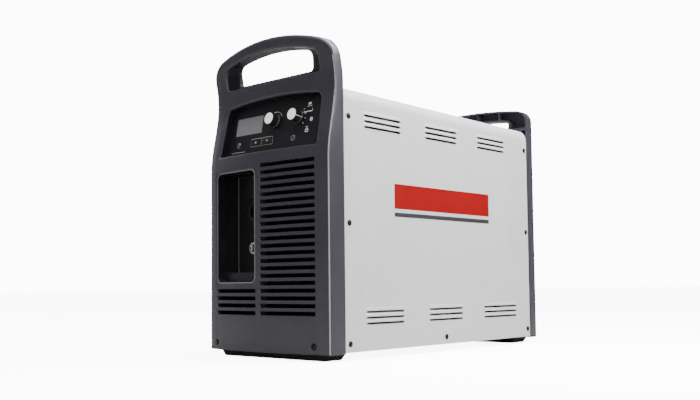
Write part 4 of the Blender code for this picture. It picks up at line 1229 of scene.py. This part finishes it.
def printed_marks():
    """Plain scale marks and pictograms."""
    u, v = KNOBS[0][1], KNOB_V
    stroke("adjust_scale", arc(u, v, 0.0152, 125, 25), 0.0007)
    u = KNOBS[1][1]
    for index, angle in enumerate((45, 15, -15, -45)):
        a = math.radians(angle)
        start, end = 0.0145, 0.0175
        stroke(
            f"mode_tick_{index}",
            [
                (u + start * math.cos(a), v + start * math.sin(a)),
                (u + end * math.cos(a), v + end * math.sin(a)),
            ],
            0.0008,
        )
    patch("mode_sign_plate", rectangle(0.0700, 0.0765, 0.0655, 0.0690, 0.0006, 3))
    stroke("mode_sign_plate_foot", [(0.0680, 0.0630), (0.0785, 0.0630)], 0.0007)
    stroke(
        "mode_sign_frame", [(0.0560, 0.0590), (0.0560, 0.0545), (0.0800, 0.0545), (0.0800, 0.0590)], 0.0009
    )
    stroke("mode_sign_ring", arc(0.0800, 0.0410, 0.0026, 0, 345, 20), 0.0010, closed=True)
    patch("mode_sign_dot", rectangle(0.0792, 0.0808, 0.0402, 0.0418, 0.0004, 3))
    stroke("mode_sign_chevron", [(0.0700, 0.0300), (0.0722, 0.0282), (0.0745, 0.0300)], 0.0007)
    stroke(
        "mode_sign_box",
        [(0.0695, 0.0215), (0.0695, 0.0255), (0.0755, 0.0255), (0.0755, 0.0215)],
        0.0009,
        closed=True,
    )
    stroke("led_ring", arc(*LED_AT, 0.0042, 0, 345, 24), 0.0006, "mark_grey", closed=True)
    stroke("pressure_ring", arc(-0.0834, 0.0162, 0.0040, 60, 300, 20), 0.0008, "mark_grey")
    stroke("pressure_needle", [(-0.0834, 0.0162), (-0.0808, 0.0190)], 0.0008)
    for index in range(7):
        low = -0.1000 + 0.0048 * index
        patch(f"unit_mark_{index}", rectangle(low, low + 0.0030, 0.0034, 0.0046), "mark_grey")
    for index, u in enumerate((-0.0420, -0.0155)):
        frame_outline = [
            (u - 0.0122, 0.0105), (u + 0.0122, 0.0105), (u + 0.0122, 0.0235), (u - 0.0122, 0.0235)
        ]
        stroke(f"button_frame_{index}", frame_outline, 0.0005, "mark_grey", closed=True)


def control_panel():
    for name, u in KNOBS:
        knob_parts(name, u, pointer=name == "mode_knob")
    for label, u, tip in (("left", -0.0420, 1), ("right", -0.0155, -1)):
        name = f"select_button_{label}"
        key = box(
            name + "_key", (u - 0.01125, BUTTON_V - 0.0055, -0.0040), (u + 0.01125, BUTTON_V + 0.0055, 0.0012)
        )
        bevel(key, 0.0006, 4)
        smooth_sides(key, 40)
        show(to_panel(key), "black_plastic", name, body=name + "_body")
        corners = [
            (u - 0.0028, BUTTON_V - 0.0016 * tip),
            (u + 0.0028, BUTTON_V - 0.0016 * tip),
            (u, BUTTON_V + 0.0020 * tip),
        ]
        arrow = plate(name + "_arrow", [Vector(c) for c in corners], 0.0011, 0.00132, "XY")
        show(to_panel(arrow), "knob_cap_white", body=name + "_body", finish="mark_grey")
    lens = plate(
        "display_window",
        rectangle(LCD[0] + GAP, LCD[1] - GAP, LCD[2] + GAP, LCD[3] - GAP, 0.0010, 4),
        -0.0018,
        -0.0004,
        "XY",
    )
    show(to_panel(lens), "display_clear", "lcd_lens")
    led = [
        (0.0, 0.0012),
        (0.0008, 0.0011),
        (0.0016, 0.0008),
        (0.0022, 0.0003),
        (0.0025, -0.0003),
        (0.0026, -0.0010),
    ]
    led += [(0.0026, -0.0060), (0.0, -0.0060)]
    dome = turned("fault_led_dome", led, (*LED_AT, 0.0), (0, 0, 1), 32)
    show(to_panel(dome), "indicator_red", "fault_led_lens", finish="indicator_dark")
    printed_marks()


# ---- Solids that stay ------------------------------------------------------------------------------------
def finish_solids():
    for part in frame["record"]["subparts"]:
        node = NODES[part["node"]]
        for slot in node.material_slots:
            slot.material = FINISH[part["material_slot"]]


# ---- Studio ----------------------------------------------------------------------------------------------
FLOOR_GLOW = 12.0


def stage_finish(name, colour, glow):
    graph = Graph(name)
    tone = graph.mix(graph.remap(graph.noise(2.0, 3.0), 0.0, 1.0), tinted(colour, 0.985), tinted(colour, 1.0))
    graph.link(tone, graph.shader.inputs["Base Color"])
    graph.shader.inputs["Roughness"].default_value = 1.0
    graph.shader.inputs["Specular IOR Level"].default_value = 0.0
    graph.shader.inputs["Emission Color"].default_value = (1.0, 1.0, 1.0, 1.0)
    graph.shader.inputs["Emission Strength"].default_value = glow
    return graph.material


def disc(name, z, colour, glow):
    bm = bmesh.new()
    bmesh.ops.create_circle(bm, cap_ends=True, segments=96, radius=20.0, matrix=Matrix.Translation((0, 0, z)))
    made = from_bmesh(name, bm)
    made.data.materials.append(stage_finish(name + "_finish", colour, glow))
    return made


def studio():
    """A bright pale floor and backdrop that light nothing, over a duller board that returns some light."""
    floor = disc("studio_floor", 0.0, (0.88, 0.88, 0.88), FLOOR_GLOW - 4.0)
    bm = bmesh.new()
    bmesh.ops.create_uvsphere(bm, u_segments=64, v_segments=32, radius=19.0)
    backdrop = from_bmesh("studio_backdrop", bm)
    backdrop.data.materials.append(stage_finish("studio_backdrop_finish", (0.0, 0.0, 0.0), FLOOR_GLOW))
    board = disc("studio_board", -0.0050, (0.42, 0.42, 0.42), 0.0)
    board.visible_camera = False
    for piece in (floor, backdrop):
        piece.visible_diffuse = False
        piece.visible_glossy = False
        piece.visible_shadow = False


def softbox(name, place, target, size, energy):
    data = bpy.data.lights.new(name, "AREA")
    data.shape = "RECTANGLE"
    data.size, data.size_y = size
    data.energy = energy
    light = bpy.data.objects.new(name, data)
    bpy.context.scene.collection.objects.link(light)
    light.location = place
    light.rotation_euler = (Vector(target) - Vector(place)).to_track_quat("-Z", "Y").to_euler()


def lights():
    world = bpy.data.worlds.new("studio_world")
    world.use_nodes = True
    background = world.node_tree.nodes["Background"]
    background.inputs["Color"].default_value = (0.95, 0.96, 1.0, 1.0)
    background.inputs["Strength"].default_value = 0.30
    bpy.context.scene.world = world
    data = bpy.data.lights.new("sky_panel", "SUN")
    data.energy = 6.5
    data.angle = math.radians(55)
    sun = bpy.data.objects.new("sky_panel", data)
    bpy.context.scene.collection.objects.link(sun)
    sun.rotation_euler = Vector((-0.16, 0.22, -1.0)).to_track_quat("-Z", "Y").to_euler()
    softbox("top_right_box", (0.46, 0.06, 1.00), (0.13, 0.03, 0.38), (0.5, 1.5), 52)
    softbox("right_strip", (2.3, -0.9, 0.9), (0.1, 0.0, 0.25), (0.6, 1.8), 3)
    softbox("left_rim", (-2.2, -0.2, 1.0), (-0.1, 0.0, 0.3), (0.6, 1.8), 14)
    softbox("corner_strip", (1.75, -1.65, 0.45), (0.13, -0.28, 0.25), (0.22, 1.9), 26)


finish_solids()
front_moulding()
painted_shade_screen()
rear_moulding()
cover()
side_bands()
screws()
bay_tub()
sockets()
latch()
control_panel()
studio()
lights()
